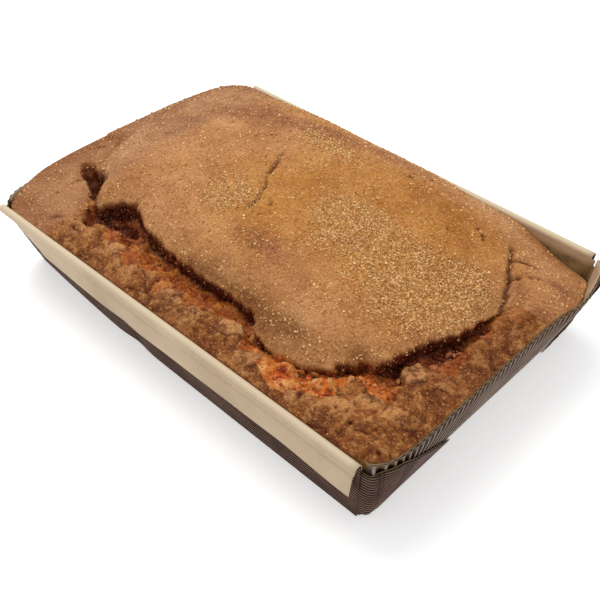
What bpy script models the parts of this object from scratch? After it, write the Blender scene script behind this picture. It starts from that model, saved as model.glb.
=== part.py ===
"""Sweet sponge coca, baked and carried in its own folded tray of single-face corrugated paper.

Metres, +Z up. The origin is under the middle of the tray, on the surface that it stands on.
+X runs along the tray, and the long side with the wide crack in the cake faces -Y.
"""

import math

import bmesh
import bpy
import numpy as np

MM = 0.001
NUDGE = 0.1 * MM

# Paper: a smooth liner with flutes glued to its outer side, all running along X in the flat blank.
SHEET = 1.2 * MM
VALLEY = 0.5 * MM
FLUTE_PITCH = 1.87 * MM
FIRST_FLUTE = 1.0 * MM

# The end walls' flutes are stretched wider and deeper than the others.
END_FLUTES = 45
END_SHEET = 1.7 * MM

# Tray: base, walls that lean outwards, and a hem rolled over the top of each long wall.
BASE_HALF_X = 108.6 * MM
BASE_HALF_Y = 73.6 * MM
FOLD_OUT = 0.5 * MM
FOLD_RISE = 0.6 * MM
FOLD_LINER = 0.4 * MM
CORNER_DRAWN_IN = 4.8 * MM
CORNER_FROM_X = -20.0 * MM
DENT_X = -26.0 * MM
DENT_WIDTH = 8.0 * MM
DENT_DEPTH = 1.2 * MM
WALL_TOP = 38.0 * MM
RIM_HALF_NEAR = 79.4 * MM
RIM_HALF_FAR = 80.6 * MM
RIM_SKEW = 1.3 * MM
HEM_END_OUT = 3.4 * MM
HEM_RADIUS = 2.0 * MM
SKIRT_BOTTOM = 19.5 * MM
SKIRT_BOTTOM_RISE = 2.0 * MM
SKIRT_GROOVE = 0.6 * MM
GROOVE_SHARE = 0.41
GROOVE_WIDTH = 0.05
SKIRT_FLARE = 1.6 * MM
SKIRT_FLARE_FROM_X = 70.0 * MM
END_RIM_HEIGHT = 40.0 * MM
END_CORNER_OUT = 3.4 * MM
END_BULGE = {1: 8.5 * MM, -1: 10.4 * MM}
END_BULGE_RUN = {1: 6.0 * MM, -1: 16.0 * MM}
EAR_Y = 50.0 * MM
EAR_WIDTH = 13.0 * MM
EAR_OUT = 2.6 * MM
EAR_FLARE = 0.7
EAR_FLARE_FROM_Y = 28.0 * MM
EAR_FLARE_RUN = 70.0 * MM
END_SIDE_GAP = {(1, -1): 0.9 * MM, (1, 1): 0.9 * MM, (-1, -1): 4.0 * MM, (-1, 1): 1.5 * MM}

# Corner flaps: each long wall carries on round the corner, outside the end wall.
FLAP_LENGTH = {-1: 50.0 * MM, 1: 23.0 * MM}
FLAP_FOOT = 5.3 * MM
FLAP_TOP = 34.8 * MM
FLAP_RAISED = 2.6 * MM
FLAP_RAISED_RUN = 5.0 * MM
FLAP_LOWERED = 4.3 * MM
FLAP_LOWERED_FROM = 4.0 * MM
FLAP_LOWERED_RUN = 15.0 * MM
FLAP_STRETCH = 7.0 * MM
FLAP_LEVEL_RUN = 12.5 * MM
FLAP_TIP_HEIGHT = 8.0 * MM
FLAP_BEND = 2.4 * MM
FLAP_GAP = 0.4 * MM

# Cake: it fills the tray, domes above the rim, and is split by one long curved crack.
CLEARANCE = 0.5 * MM
CAKE_CORNER = 1.4 * MM
CAKE_TRIANGLES = 7750
CAKE_GRID = (161, 109)

# Heights and reaches of the cake's top, in millimetres.
MARGIN = 39.4
LEFT_MARGIN_RISE = 4.0
LEFT_MARGIN_FROM_X = -80.0
LEFT_MARGIN_RUN = 42.0
RIGHT_MARGIN_RISE = 1.4
RIGHT_MARGIN_FROM_X = 85.0
RIGHT_MARGIN_RUN = 30.0
FAR_CORNER = (113.0, 80.0)
FAR_CORNER_RUN = (50.0, 42.0)
FAR_CORNER_DROP = 12.5
NEAR_CORNER = (-112.0, -80.0)
NEAR_CORNER_RUN = (40.0, 30.0)
NEAR_CORNER_DROP = 3.0
WALL_X = 121.0
WALL_Y = 81.0
DOME_RISE = 21.5
DOME_MIDDLE_X = -8.0
DOME_LEFT_RUN = 116.0
DOME_RIGHT_RUN = 131.0
DOME_NEAR_RUN = 81.0
DOME_FAR_RUN = 82.0
FAR_SHOULDER_SET_IN = 3.0
FAR_SHOULDER_FROM_X = 20.0
FAR_SHOULDER_RUN = 40.0
DOME_POWERS = (2.8, 4.2)
SUNK_CORNER = (118.0, 82.0)
SUNK_CORNER_RUN = (32.0, 28.0)
SUNK_SHARE = 0.75
SWELL = (-48.0, 62.0)
SWELL_RUN = (25.0, 14.0)
SWELL_RISE = 1.2
MEAN_LIP = 6.0
LIP_RUN = 9.0
LIP_ROUNDING = 1.6
LIP_ROUNDED_SHARE = 0.4
TORN_LIP = 3.0
LID_RISE = 24.0
SOFTNESS = 3.0
LID_RIPPLE = (0.5, 42.0)
LID_RIPPLE_FADE = 12.0
SHELF_RISE = 3.2
SHELF_RUN = 16.0
SHELF_RIPPLE = (0.45, 13.0)
SHELF_RIPPLE_FADE = 5.0
CRACK_DEPTH = 3.6
CRACK_FLOOR = 2.5
CRACK_RUN = 4.5
CRUMB_DROP = 1.6
CRUMB_EDGE = 5.0
SNAP = 0.3
OUTSIDE = 150.0

# Edge of the raised lid of crust, from the left end round the near side to the right end: x, y, the
# height of the step there and how far the open crumb reaches before it, all in millimetres.
LID_EDGE = (
    (-110, -14, 0.0, 2), (-101, -30, 1.5, 2.5), (-92, -41, 3.5, 3.5), (-82, -50, 5.5, 3.5),
    (-71, -55, 8.0, 8), (-65, -47, 9.0, 18), (-56, -43, 8.5, 20), (-45, -49, 7.5, 13),
    (-29, -52.5, 7.5, 15), (-8, -53.5, 7.0, 12), (8, -53, 6.5, 11), (23, -53, 6.5, 11),
    (33, -54.5, 6.5, 10), (41, -61, 6.0, 7), (53, -64, 6.0, 9), (66, -62, 6.5, 10),
    (76, -56, 7.0, 8), (82, -46.5, 8.5, 11), (89, -40, 9.5, 12), (91.5, -31, 9.5, 11),
    (94.5, -18, 8.0, 11), (98.5, -8, 6.0, 11), (100.5, 3, 4.0, 9), (102, 17, 1.5, 5),
    (108, 25, 0.0, 2),
)

# Narrow cracks in the crust, and the pockets along the wide one: points with the depth there, and
# half the width, in millimetres.
CRACKS = (
    (((-27, 27, 0), (-21.5, 12, 2.0), (-18, 4, 2.4), (-9, -9, 2.2), (-6, -19, 1.2), (-7, -25, 0)), 1.1),
    (((85, 52, 0), (89, 45, 2.2), (94, 37, 2.6), (102, 22.5, 2.6), (104, 16, 0)), 1.1),
    (((91, 42, 1.5), (96, 47, 1.4), (101, 50, 0)), 1.0),
    (((97, 32, 1.8), (101, 39, 1.6), (105, 43.5, 0)), 1.0),
    (((-99, -40, 3), (-94, -40, 7), (-88, -43, 7), (-84, -46, 4)), 3.2),
    (((-69, -62, 3), (-62, -56, 5), (-54, -51, 4), (-48, -55, 1)), 3.4),
    (((66, -66.5, 1), (71, -63, 4), (77, -60, 2.5), (80, -57, 0)), 2.2),
)


def smooth(value):
    value = np.clip(value, 0.0, 1.0)
    return value * value * (3.0 - 2.0 * value)


def clear_scene():
    for obj in list(bpy.data.objects):
        bpy.data.objects.remove(obj, do_unlink=True)


def material(name, colour, roughness):
    made = bpy.data.materials.new(name)
    made.use_nodes = True
    shader = made.node_tree.nodes["Principled BSDF"]
    shader.inputs["Base Color"].default_value = (*colour, 1.0)
    shader.inputs["Roughness"].default_value = roughness
    shader.inputs["Metallic"].default_value = 0.0
    return made


def add_object(name, mesh, surface):
    mesh.materials.append(surface)
    obj = bpy.data.objects.new(name, mesh)
    bpy.context.scene.collection.objects.link(obj)
    return obj


# Shape of the tray's liner, the side that faces the cake.

def fold_half(side, x):
    """Half width of the base at x: the near left corner is drawn in, with a small dent beside it."""
    if side > 0:
        return BASE_HALF_Y
    drawn_in = CORNER_DRAWN_IN * max(0.0, (CORNER_FROM_X - x) / (CORNER_FROM_X + BASE_HALF_X)) ** 1.5
    dent = DENT_DEPTH * math.exp(-((x - DENT_X) / DENT_WIDTH) ** 2)
    return BASE_HALF_Y - drawn_in - dent


def rim_half(side, x):
    """Half width between the long walls at the top of their straight part."""
    if side > 0:
        return RIM_HALF_FAR
    return RIM_HALF_NEAR - RIM_SKEW * x / BASE_HALF_X


def wall_half(side, x, height):
    """Distance of a long wall's liner from the middle plane, at this height."""
    share = (height - SHEET) / (WALL_TOP - SHEET)
    return fold_half(side, x) + share * (rim_half(side, x) - fold_half(side, x))


def wall_end(height):
    """Where a long wall stops and its flap begins."""
    return BASE_HALF_X + HEM_END_OUT * min(1.0, (height - SHEET) / (WALL_TOP - SHEET))


def end_rim(end, y):
    """How far out the top edge of an end wall bulges, measured from the middle of the tray."""
    side = 1 if y > 0 else -1
    inside = max(0.0, rim_half(side, end * BASE_HALF_X) - abs(y))
    bulge = END_BULGE[end] * (1 - math.exp(-inside / END_BULGE_RUN[end]))
    if end > 0:
        bulge += EAR_OUT * math.exp(-((y - EAR_Y) / EAR_WIDTH) ** 2)
    return BASE_HALF_X + END_CORNER_OUT + bulge


def end_x(end, y, height):
    """Distance of an end wall's liner from the middle of the tray: it flares most by the far corner."""
    share = (height - SHEET) / (END_RIM_HEIGHT - SHEET)
    flare = 1.0 + EAR_FLARE * float(smooth((y - EAR_FLARE_FROM_Y) / EAR_FLARE_RUN))
    return BASE_HALF_X + (end_rim(end, y) - BASE_HALF_X) * share**flare


def flute(flutes_across, thickness=SHEET):
    """Thickness of the paper so many flutes across it, as a pointed wave."""
    phase = flutes_across % 1.0
    return VALLEY + (thickness - VALLEY) * (1 - abs(2 * phase - 1))


def unit(vector):
    return vector / np.linalg.norm(vector)


class Sheet:
    """A folded sheet: patches with a liner side and a fluted side, closed along their cut edges."""

    def __init__(self):
        self.bm = bmesh.new()

    def face(self, points):
        kept = []
        for point in points:
            if all(np.linalg.norm(point - other) > 1e-7 for other in kept):
                kept.append(point)
        if len(kept) > 2:
            self.bm.faces.new([self.bm.verts.new(point) for point in kept])

    def patch(self, liner, back, flip, cut_rows=(), cut_first=(), cut_last=()):
        """liner and back hold the points of each row. cut_rows names rows that are cut edges,
        cut_first and cut_last the rows whose first or last end, up to the next row, is one."""
        rows, stations = len(liner), len(liner[0])
        for i in range(rows - 1):
            for j in range(stations - 1):
                front = [liner[i][j], liner[i][j + 1], liner[i + 1][j + 1], liner[i + 1][j]]
                rear = [back[i][j], back[i + 1][j], back[i + 1][j + 1], back[i][j + 1]]
                self.face(front[::-1] if flip else front)
                self.face(rear[::-1] if flip else rear)
        for i, sign in cut_rows:
            for j in range(stations - 1):
                strip = [liner[i][j], back[i][j], back[i][j + 1], liner[i][j + 1]]
                self.face(strip[::-1] if (sign < 0) != flip else strip)
        for ends, j, sign in ((cut_first, 0, -1), (cut_last, stations - 1, 1)):
            for i in ends:
                strip = [liner[i][j], back[i][j], back[i + 1][j], liner[i + 1][j]]
                self.face(strip[::-1] if (sign > 0) != flip else strip)

    def mesh(self, name):
        bmesh.ops.remove_doubles(self.bm, verts=self.bm.verts, dist=2e-6)
        bmesh.ops.recalc_face_normals(self.bm, faces=self.bm.faces)
        bmesh.ops.dissolve_limit(
            self.bm, angle_limit=math.radians(0.6), verts=self.bm.verts, edges=self.bm.edges
        )
        bmesh.ops.triangulate(self.bm, faces=self.bm.faces)
        made = bpy.data.meshes.new(name)
        self.bm.to_mesh(made)
        self.bm.free()
        return made


WALL_FRACTIONS = (-1.0, -0.75, -0.45, -0.31, -0.24, -0.17, 0.1, 0.45, 0.78, 1.0)
WALL_HEIGHTS = [SHEET, SHEET + FOLD_LINER] + [
    SHEET + FIRST_FLUTE + k * FLUTE_PITCH / 2
    for k in range(int((WALL_TOP - SHEET - 1.6 * FIRST_FLUTE) / (FLUTE_PITCH / 2)) + 1)
] + [WALL_TOP]
FLAP_STATIONS = (0, 4, 10, 18, 32)
FLAP_ROWS = [i for i, z in enumerate(WALL_HEIGHTS) if FLAP_FOOT <= z <= FLAP_TOP]
HEM_TURNS = [math.radians(angle) for angle in (157, 133, 110, 90, 70, 45, 20, 0)]
SKIRT_SHARES = (0.22, 0.36, GROOVE_SHARE, 0.46, 0.7, 1.0)

# Where the near hem's skirt is cut, on the left and on the right: its height there and its distance
# from the middle, in millimetres from the bottom up.
SKIRT_CUT = {
    -1: ((19.0, 86.0), (24.0, 88.0), (29.0, 93.5), (34.5, 100.0), (36.0, 109.0), (38.0, 112.0)),
    1: ((19.0, 109.2), (34.0, 110.9), (38.0, 112.0)),
}


def wall_points(side, x, height):
    """Liner and back of a long wall. Its first two heights are the fold beside the base."""
    half = wall_half(side, x, height)
    liner = np.array([x, side * half, height])
    corner = math.copysign(FOLD_OUT, x) if abs(x) > BASE_HALF_X - 1e-6 else 0.0
    if height <= SHEET:
        return liner, np.array([x + corner, side * (half + FOLD_OUT), 0.0])
    if height <= WALL_HEIGHTS[1]:
        return liner, np.array([x + corner, side * (half + 2 * FOLD_OUT), FOLD_RISE])
    lean = math.atan2(rim_half(side, x) - fold_half(side, x), WALL_TOP - SHEET)
    outward = np.array([0.0, side * math.cos(lean), -math.sin(lean)])
    if height >= WALL_TOP:
        return liner, liner + np.array([0.0, side * SHEET, 0.0])
    return liner, liner + outward * flute((height - SHEET - FIRST_FLUTE) / FLUTE_PITCH)


def roll_points(side, x, turn):
    """The roll at the top of a hem: the liner goes round its outside."""
    centre = rim_half(side, x) + HEM_RADIUS
    round_it = np.array([0.0, side * math.cos(turn), math.sin(turn)])
    middle = np.array([x, side * centre, WALL_TOP])
    return middle + round_it * HEM_RADIUS, middle + round_it * (HEM_RADIUS - SHEET)


def skirt_points(side, fraction, share):
    """The hem's flat skirt, which hangs beside the wall with its liner outwards."""
    bottom = SKIRT_BOTTOM + SKIRT_BOTTOM_RISE * fraction**2
    height = WALL_TOP + share * (bottom - WALL_TOP)
    x = fraction * wall_end(WALL_TOP)
    flare = 0.0
    if side < 0:
        heights, ends = zip(*SKIRT_CUT[1 if x > 0 else -1])
        cut = np.interp(height / MM, heights, ends) * MM
        x = min(max(x, -cut), cut)
        flare = SKIRT_FLARE * float(smooth((x - SKIRT_FLARE_FROM_X) / (BASE_HALF_X - SKIRT_FLARE_FROM_X)))
    groove = SKIRT_GROOVE * math.exp(-(((share - GROOVE_SHARE) / GROOVE_WIDTH) ** 2))
    half = wall_half(side, x, height) + 2 * HEM_RADIUS + flare * share - groove
    liner = np.array([x, side * half, height])
    return liner, liner - np.array([0.0, side * SHEET, 0.0])


def add_long_side(sheet, side):
    """One long wall with its hem, from corner to corner."""
    rows = []
    for height in WALL_HEIGHTS:
        rows.append([wall_points(side, f * wall_end(height), height) for f in WALL_FRACTIONS])
    for turn in HEM_TURNS:
        rows.append([roll_points(side, f * wall_end(WALL_TOP), turn) for f in WALL_FRACTIONS])
    for share in SKIRT_SHARES:
        rows.append([skirt_points(side, f, share) for f in WALL_FRACTIONS])
    liner = [[point[0] for point in row] for row in rows]
    back = [[point[1] for point in row] for row in rows]
    open_ends = [i for i in range(len(rows) - 1) if not FLAP_ROWS[0] <= i < FLAP_ROWS[-1]]
    sheet.patch(liner, back, side < 0, [(len(rows) - 1, 1)], open_ends, open_ends)


def flap_liner(side, end, height, station):
    """A point of a flap's liner, and its distance from the long wall. Stations 0 to 1 go round the
    corner, and from there on they are further by the distance from the bend in metres."""
    wall_y = wall_half(side, end * wall_end(height), height)

    def beside_end_wall(inside):
        return end_x(end, side * (wall_y - inside), height) + END_SHEET + FLAP_GAP

    if station <= 1:
        run_x = beside_end_wall(FLAP_BEND)
        weights = ((1 - station) ** 2, 2 * station * (1 - station), station**2)
        x = weights[0] * wall_end(height) + (weights[1] + weights[2]) * run_x
        y = wall_y - weights[2] * FLAP_BEND
    else:
        y = wall_y - FLAP_BEND - (station - 1)
        x = beside_end_wall(wall_y - y)
    return np.array([end * x, side * y, height]), wall_y - y


def flap_height(side, inside, height):
    """Height of a flap's row this far from the long wall, which it leaves at the given height. The top
    rows rise and the bottom ones fall a little past the corner, and the top edge cuts the rows off on
    its way down to the free end."""
    raised = FLAP_RAISED * smooth(inside / FLAP_RAISED_RUN)
    raised *= smooth((height - FLAP_TOP + FLAP_STRETCH) / FLAP_STRETCH)
    lowered = FLAP_LOWERED * smooth((inside - FLAP_LOWERED_FROM) / FLAP_LOWERED_RUN)
    lowered *= smooth((FLAP_FOOT + FLAP_STRETCH - height) / FLAP_STRETCH)
    fallen = np.clip((inside - FLAP_LEVEL_RUN) / (FLAP_LENGTH[side] - FLAP_LEVEL_RUN), 0.0, 1.0)
    top = FLAP_TOP + FLAP_RAISED
    cut = top + (FLAP_TIP_HEIGHT - top) * fallen
    return float(min(height + raised - lowered, cut)), height + raised - lowered >= cut


def add_flap(sheet, side, end):
    run = [d * MM for d in FLAP_STATIONS if d * MM < FLAP_LENGTH[side]]
    stations = [0.0, 0.5] + [1 + d for d in run] + [1 + FLAP_LENGTH[side] - FLAP_BEND]
    liner, back = [], []
    for i in FLAP_ROWS:
        start, behind = wall_points(side, end * wall_end(WALL_HEIGHTS[i]), WALL_HEIGHTS[i])
        liner_row, back_row = [start], [behind]
        for station in stations[1:]:
            _, inside = flap_liner(side, end, WALL_HEIGHTS[i], station)
            height, cut_off = flap_height(side, inside, WALL_HEIGHTS[i])
            point, _ = flap_liner(side, end, height, station)
            along = flap_liner(side, end, height, station + NUDGE)[0]
            along = along - flap_liner(side, end, height, station - NUDGE)[0]
            up = flap_liner(side, end, height + NUDGE, station)[0] - point
            outward = unit(np.cross(along, up))
            if outward @ np.array([end, 0.3 * side, 0.0]) < 0:
                outward = -outward
            depth = flute((WALL_HEIGHTS[i] - SHEET - FIRST_FLUTE) / FLUTE_PITCH)
            liner_row.append(point)
            back_row.append(point + outward * ((SHEET + VALLEY) / 2 if cut_off else depth))
        liner.append(liner_row)
        back.append(back_row)
    last = len(liner) - 1
    closed = list(range(last))
    sheet.patch(liner, back, (side < 0) != (end < 0), [(0, -1), (last, 1)], (), closed)


END_HEIGHTS = [SHEET, SHEET + FOLD_LINER, SHEET + 2.0 * MM, 19.0 * MM, 30.0 * MM, END_RIM_HEIGHT]
END_ROWS = 2 * END_FLUTES + 1


def end_liner(end, share, height):
    """A point of an end wall's liner: share runs from -1 at the near side to 1 at the far side."""
    side = 1 if share > 0 else -1
    gap = END_SIDE_GAP[end, side] * float(smooth((height - SHEET) / (12 * MM)) ** 0.5)
    half = wall_half(side, end * BASE_HALF_X, min(height, WALL_TOP)) - gap
    y = share * half
    return np.array([end * end_x(end, y, height), y, height])


def add_end_wall(sheet, end):
    """An end wall folds up from the base, and its flutes run up to a scalloped cut edge."""
    liner, back = [], []
    for i in range(END_ROWS):
        share = -1 + 2 * i / (END_ROWS - 1)
        liner_row, back_row = [], []
        for height in END_HEIGHTS:
            point = end_liner(end, share, height)
            side_out = FOLD_OUT * share if abs(share) > 1 - 1e-9 else 0.0
            if height <= SHEET:
                rear = np.array([point[0] + end * FOLD_OUT, point[1] + side_out, 0.0])
            elif height <= END_HEIGHTS[1]:
                rear = np.array([point[0] + 2 * end * FOLD_OUT, point[1], FOLD_RISE])
            else:
                step = 0.004
                across = end_liner(end, min(1.0, share + step), height)
                across = across - end_liner(end, max(-1.0, share - step), height)
                rise = end_liner(end, share, height + NUDGE) - point
                outward = unit(np.cross(across, rise)) * end
                rear = point + outward * flute(i / 2, END_SHEET)
            liner_row.append(point)
            back_row.append(rear)
        liner.append(liner_row)
        back.append(back_row)
    last = len(liner) - 1
    sheet.patch(liner, back, end < 0, [(0, -1), (last, 1)], (), list(range(last)))
    return [row[0] for row in liner], [row[0] for row in back]


def add_base(sheet, right, left):
    """The base: one flat outline on each face, which meets every fold line."""
    for face_up, near_end, far_end in ((True, right[0], left[0]), (False, right[1], left[1])):
        pick = 0 if face_up else 1
        near = [wall_points(-1, f * BASE_HALF_X, SHEET)[pick] for f in WALL_FRACTIONS]
        far = [wall_points(1, f * BASE_HALF_X, SHEET)[pick] for f in WALL_FRACTIONS]
        outline = near + near_end[1:-1] + far[::-1] + far_end[1:-1][::-1]
        sheet.face(outline if face_up else outline[::-1])


def make_tray(surface):
    sheet = Sheet()
    for side in (-1, 1):
        add_long_side(sheet, side)
        for end in (-1, 1):
            add_flap(sheet, side, end)
    right = add_end_wall(sheet, 1)
    left = add_end_wall(sheet, -1)
    add_base(sheet, right, left)
    return add_object("tray", sheet.mesh("tray"), surface)


# Shape of the cake, in millimetres on arrays of points.

def ripple(x, y, size, seed):
    """Smooth uneven bumps of about this size, between -1 and 1."""
    rng = np.random.default_rng(seed)
    total = np.zeros_like(x)
    for _ in range(9):
        angle = rng.uniform(0, math.pi)
        wave = size * rng.uniform(0.7, 1.5)
        total += np.sin(2 * math.pi * (x * math.cos(angle) + y * math.sin(angle)) / wave
                        + rng.uniform(0, 2 * math.pi))
    return np.clip(total / 4.0, -1.0, 1.0)


def bell(x, y, middle, run):
    """A smooth hill of height 1, which is down to about a third at the given runs."""
    return np.exp(-(((x - middle[0]) / run[0]) ** 2) - ((y - middle[1]) / run[1]) ** 2)


def near_corner(x, y, corner, run):
    """1 at a corner, falling to 0 at the given runs from it."""
    return 1 - smooth(np.hypot((x - corner[0]) / run[0], (y - corner[1]) / run[1]))


def margin_height(x, y):
    """Height of the cake where it meets the paper: it sank most at the far right corner."""
    left = LEFT_MARGIN_RISE * smooth((LEFT_MARGIN_FROM_X - x) / LEFT_MARGIN_RUN)
    left *= 1 - np.clip(np.abs(y) / WALL_Y, 0, 1) ** 3
    right = RIGHT_MARGIN_RISE * smooth((x - RIGHT_MARGIN_FROM_X) / RIGHT_MARGIN_RUN)
    low_far = FAR_CORNER_DROP * near_corner(x, y, FAR_CORNER, FAR_CORNER_RUN)
    low_near = NEAR_CORNER_DROP * near_corner(x, y, NEAR_CORNER, NEAR_CORNER_RUN)
    return MARGIN + left + right - low_far - low_near


def nearest_on(line, x, y):
    """Distance to a line of points with more numbers at each, and the line's x, y and other numbers
    at the nearest place."""
    line = np.array(line, float)
    best = np.full(x.shape, np.inf)
    nearest = np.zeros((*x.shape, line.shape[1]))
    for start, stop in zip(line[:-1], line[1:]):
        run = stop - start
        share = ((x - start[0]) * run[0] + (y - start[1]) * run[1]) / (run[0] ** 2 + run[1] ** 2)
        place = start + np.clip(share, 0, 1)[..., None] * run
        distance = np.hypot(x - place[..., 0], y - place[..., 1])
        nearer = distance < best
        best = np.where(nearer, distance, best)
        nearest = np.where(nearer[..., None], place, nearest)
    return best, nearest


def lid_distance(x, y):
    """Distance from the lid's edge, positive on the lid, and the edge's numbers at the nearest place."""
    best, nearest = nearest_on(LID_EDGE, x, y)
    ring = [point[:2] for point in LID_EDGE]
    ring += [(OUTSIDE, 32), (OUTSIDE, OUTSIDE), (-OUTSIDE, OUTSIDE), (-OUTSIDE, -10)]
    inside = np.zeros(x.shape, bool)
    for (ax, ay), (bx, by) in zip(ring, ring[1:] + ring[:1]):
        crosses = (ay > y) != (by > y)
        at = ax + (y - ay) * (bx - ax) / (by - ay if by != ay else 1e-9)
        inside ^= crosses & (x < at)
    return np.where(inside, best, -best), nearest


def dome_height(x, y):
    """The dome over the whole cake, above its margin."""
    from_middle = x - DOME_MIDDLE_X
    along = np.abs(from_middle) / np.where(from_middle < 0, DOME_LEFT_RUN, DOME_RIGHT_RUN)
    far_run = DOME_FAR_RUN - FAR_SHOULDER_SET_IN * smooth((x - FAR_SHOULDER_FROM_X) / FAR_SHOULDER_RUN)
    across = np.abs(y) / np.where(y < 0, DOME_NEAR_RUN, far_run)
    dome = DOME_RISE * (1 - along ** DOME_POWERS[0]).clip(0) * (1 - across ** DOME_POWERS[1]).clip(0)
    dome *= 1 - SUNK_SHARE * bell(x, y, SUNK_CORNER, SUNK_CORNER_RUN)
    return dome + SWELL_RISE * bell(x, y, SWELL, SWELL_RUN)


def cake_top(x, y):
    """Height of the cake's top: the lid of crust behind the wide crack, or the shelf before it."""
    distance, edge = lid_distance(x, y)
    lip, crumb_reach = edge[..., 2], edge[..., 3]
    on_lid = np.maximum(distance, 0)
    lip_here = MEAN_LIP + (lip - MEAN_LIP) * np.exp(-on_lid / LIP_RUN)
    rise = lip_here + LID_RISE * (1 - np.exp(-on_lid / LID_RISE))
    dome = dome_height(x, y)
    lower = np.minimum(dome, rise)
    blend = SOFTNESS * np.log1p(np.exp(-np.abs(dome - rise) / SOFTNESS))
    lid = lower - blend * (1 - np.exp(-lower / 2))
    even = smooth(on_lid / LID_RIPPLE_FADE) * smooth(lower / 4)
    lid += LID_RIPPLE[0] * ripple(x, y, LID_RIPPLE[1], 3) * even
    lid -= LIP_ROUNDED_SHARE * lip * np.exp(-on_lid / LIP_ROUNDING)
    from_wall = np.minimum(WALL_Y - np.abs(y), WALL_X - np.abs(x)).clip(0)
    shelf = SHELF_RISE * smooth(from_wall / SHELF_RUN)
    shelf += SHELF_RIPPLE[0] * ripple(x, y, SHELF_RIPPLE[1], 5) * smooth(from_wall / SHELF_RIPPLE_FADE)
    before_lid = np.maximum(-distance, 0)
    torn = smooth(lip / TORN_LIP)
    gully = CRACK_DEPTH * torn * np.exp(-(((before_lid - CRACK_FLOOR) / CRACK_RUN) ** 2))
    gully += CRUMB_DROP * torn * smooth((crumb_reach - before_lid) / CRUMB_EDGE)
    top = margin_height(x, y) + np.where(distance > 0, lid, shelf - gully)
    for line, width in CRACKS:
        away, crack = nearest_on(line, x, y)
        top -= crack[..., 2] * np.exp(-((away / width) ** 2))
    return top


def cake_outline(share_x, share_y, height):
    """A point of the cake's side at this height, in metres, for shares from -1 to 1."""
    side = 1 if share_y > 0 else -1
    end = 1 if share_x > 0 else -1
    level = min(height, WALL_TOP)
    y = share_y * (wall_half(side, share_x * BASE_HALF_X, level) - CLEARANCE)
    x = share_x * (end_x(end, y, min(height, END_RIM_HEIGHT)) - CLEARANCE)
    corner = CAKE_CORNER * abs(share_x * share_y) ** 40
    return x - share_x * corner, y - share_y * corner


def top_points():
    """The points of the top, in metres, row by row, with the outermost ones on the cake's margin.
    Points beside the lid's edge are moved up to it, so that the step has a clean line."""
    columns, rows = CAKE_GRID
    xs, ys = np.linspace(-1, 1, columns), np.linspace(-1, 1, rows)
    heights = np.full((rows, columns), MARGIN * MM)
    for _ in range(3):
        spots = [[cake_outline(xs[j], ys[i], heights[i, j]) for j in range(columns)] for i in range(rows)]
        x, y = np.array(spots).transpose(2, 0, 1) / MM
        heights = margin_height(x, y) * MM
    distance, edge = lid_distance(x, y)
    away = np.maximum(np.abs(distance), 1e-4)
    half_a_cell = BASE_HALF_X / MM / columns
    scale = np.where((away < half_a_cell) & (edge[..., 2] > 1), SNAP / away, 1)
    inner = np.zeros(x.shape, bool)
    inner[1:-1, 1:-1] = True
    x = np.where(inner, edge[..., 0] + (x - edge[..., 0]) * scale, x)
    y = np.where(inner, edge[..., 1] + (y - edge[..., 1]) * scale, y)
    z = np.where(inner, cake_top(x, y), margin_height(x, y))
    points = np.stack([x, y, z], -1) * MM
    for i in range(rows):
        for j in range(columns):
            if not inner[i, j]:
                points[i, j, :2] = cake_outline(xs[j], ys[i], points[i, j, 2])
    return xs, ys, points


def make_cake(surface):
    columns, rows = CAKE_GRID
    xs, ys, points = top_points()
    bm = bmesh.new()
    grid = [[bm.verts.new(point) for point in line] for line in points]
    for i in range(rows - 1):
        for j in range(columns - 1):
            bm.faces.new([grid[i][j], grid[i][j + 1], grid[i + 1][j + 1], grid[i + 1][j]])
    around = [(0, j) for j in range(columns)] + [(i, columns - 1) for i in range(1, rows)]
    around += [(rows - 1, j) for j in range(columns - 2, -1, -1)]
    around += [(i, 0) for i in range(rows - 2, 0, -1)]
    margin_z = [grid[i][j].co.z for i, j in around]
    upper = [grid[i][j] for i, j in around]
    bottom = SHEET + CLEARANCE
    for share, skip in ((0.5, 2), (0.0, 4)):
        lower = []
        for k in range(0, len(around), skip):
            i, j = around[k]
            height = bottom + share * (margin_z[k] - bottom)
            x, y = cake_outline(xs[j], ys[i], height)
            lower.append(bm.verts.new((x, y, height)))
        for k, corner in enumerate(lower):
            after = lower[(k + 1) % len(lower)]
            middle = upper[2 * k + 1]
            bm.faces.new([upper[2 * k], corner, middle])
            bm.faces.new([middle, corner, after])
            bm.faces.new([middle, after, upper[(2 * k + 2) % len(upper)]])
        upper = lower
    centre = bm.verts.new((0, 0, bottom))
    for k, corner in enumerate(upper):
        bm.faces.new([corner, centre, upper[(k + 1) % len(upper)]])
    bmesh.ops.recalc_face_normals(bm, faces=bm.faces)
    bm.verts.index_update()
    top = [v.index for line in grid[1:-1] for v in line[1:-1]]
    mesh = bpy.data.meshes.new("cake")
    bm.to_mesh(mesh)
    bm.free()
    cake = add_object("cake", mesh, surface)
    group = cake.vertex_groups.new(name="top")
    group.add(top, 1.0, "REPLACE")
    fewer = cake.modifiers.new("fewer triangles on the top", "DECIMATE")
    fewer.vertex_group = group.name
    triangles = sum(len(face.vertices) - 2 for face in mesh.polygons)
    fewer.ratio = CAKE_TRIANGLES / triangles
    return cake


def main():
    clear_scene()
    crust = material("crust", (0.42, 0.22, 0.11), 0.75)
    paper = material("paper", (0.12, 0.08, 0.06), 0.8)
    make_cake(crust)
    make_tray(paper)


main()
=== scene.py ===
"""The dressed coca: a cracked sponge under sugared crust, in its corrugated paper baking tray."""

import math
from itertools import combinations

import bpy
import numpy as np
from mathutils import Matrix


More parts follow.
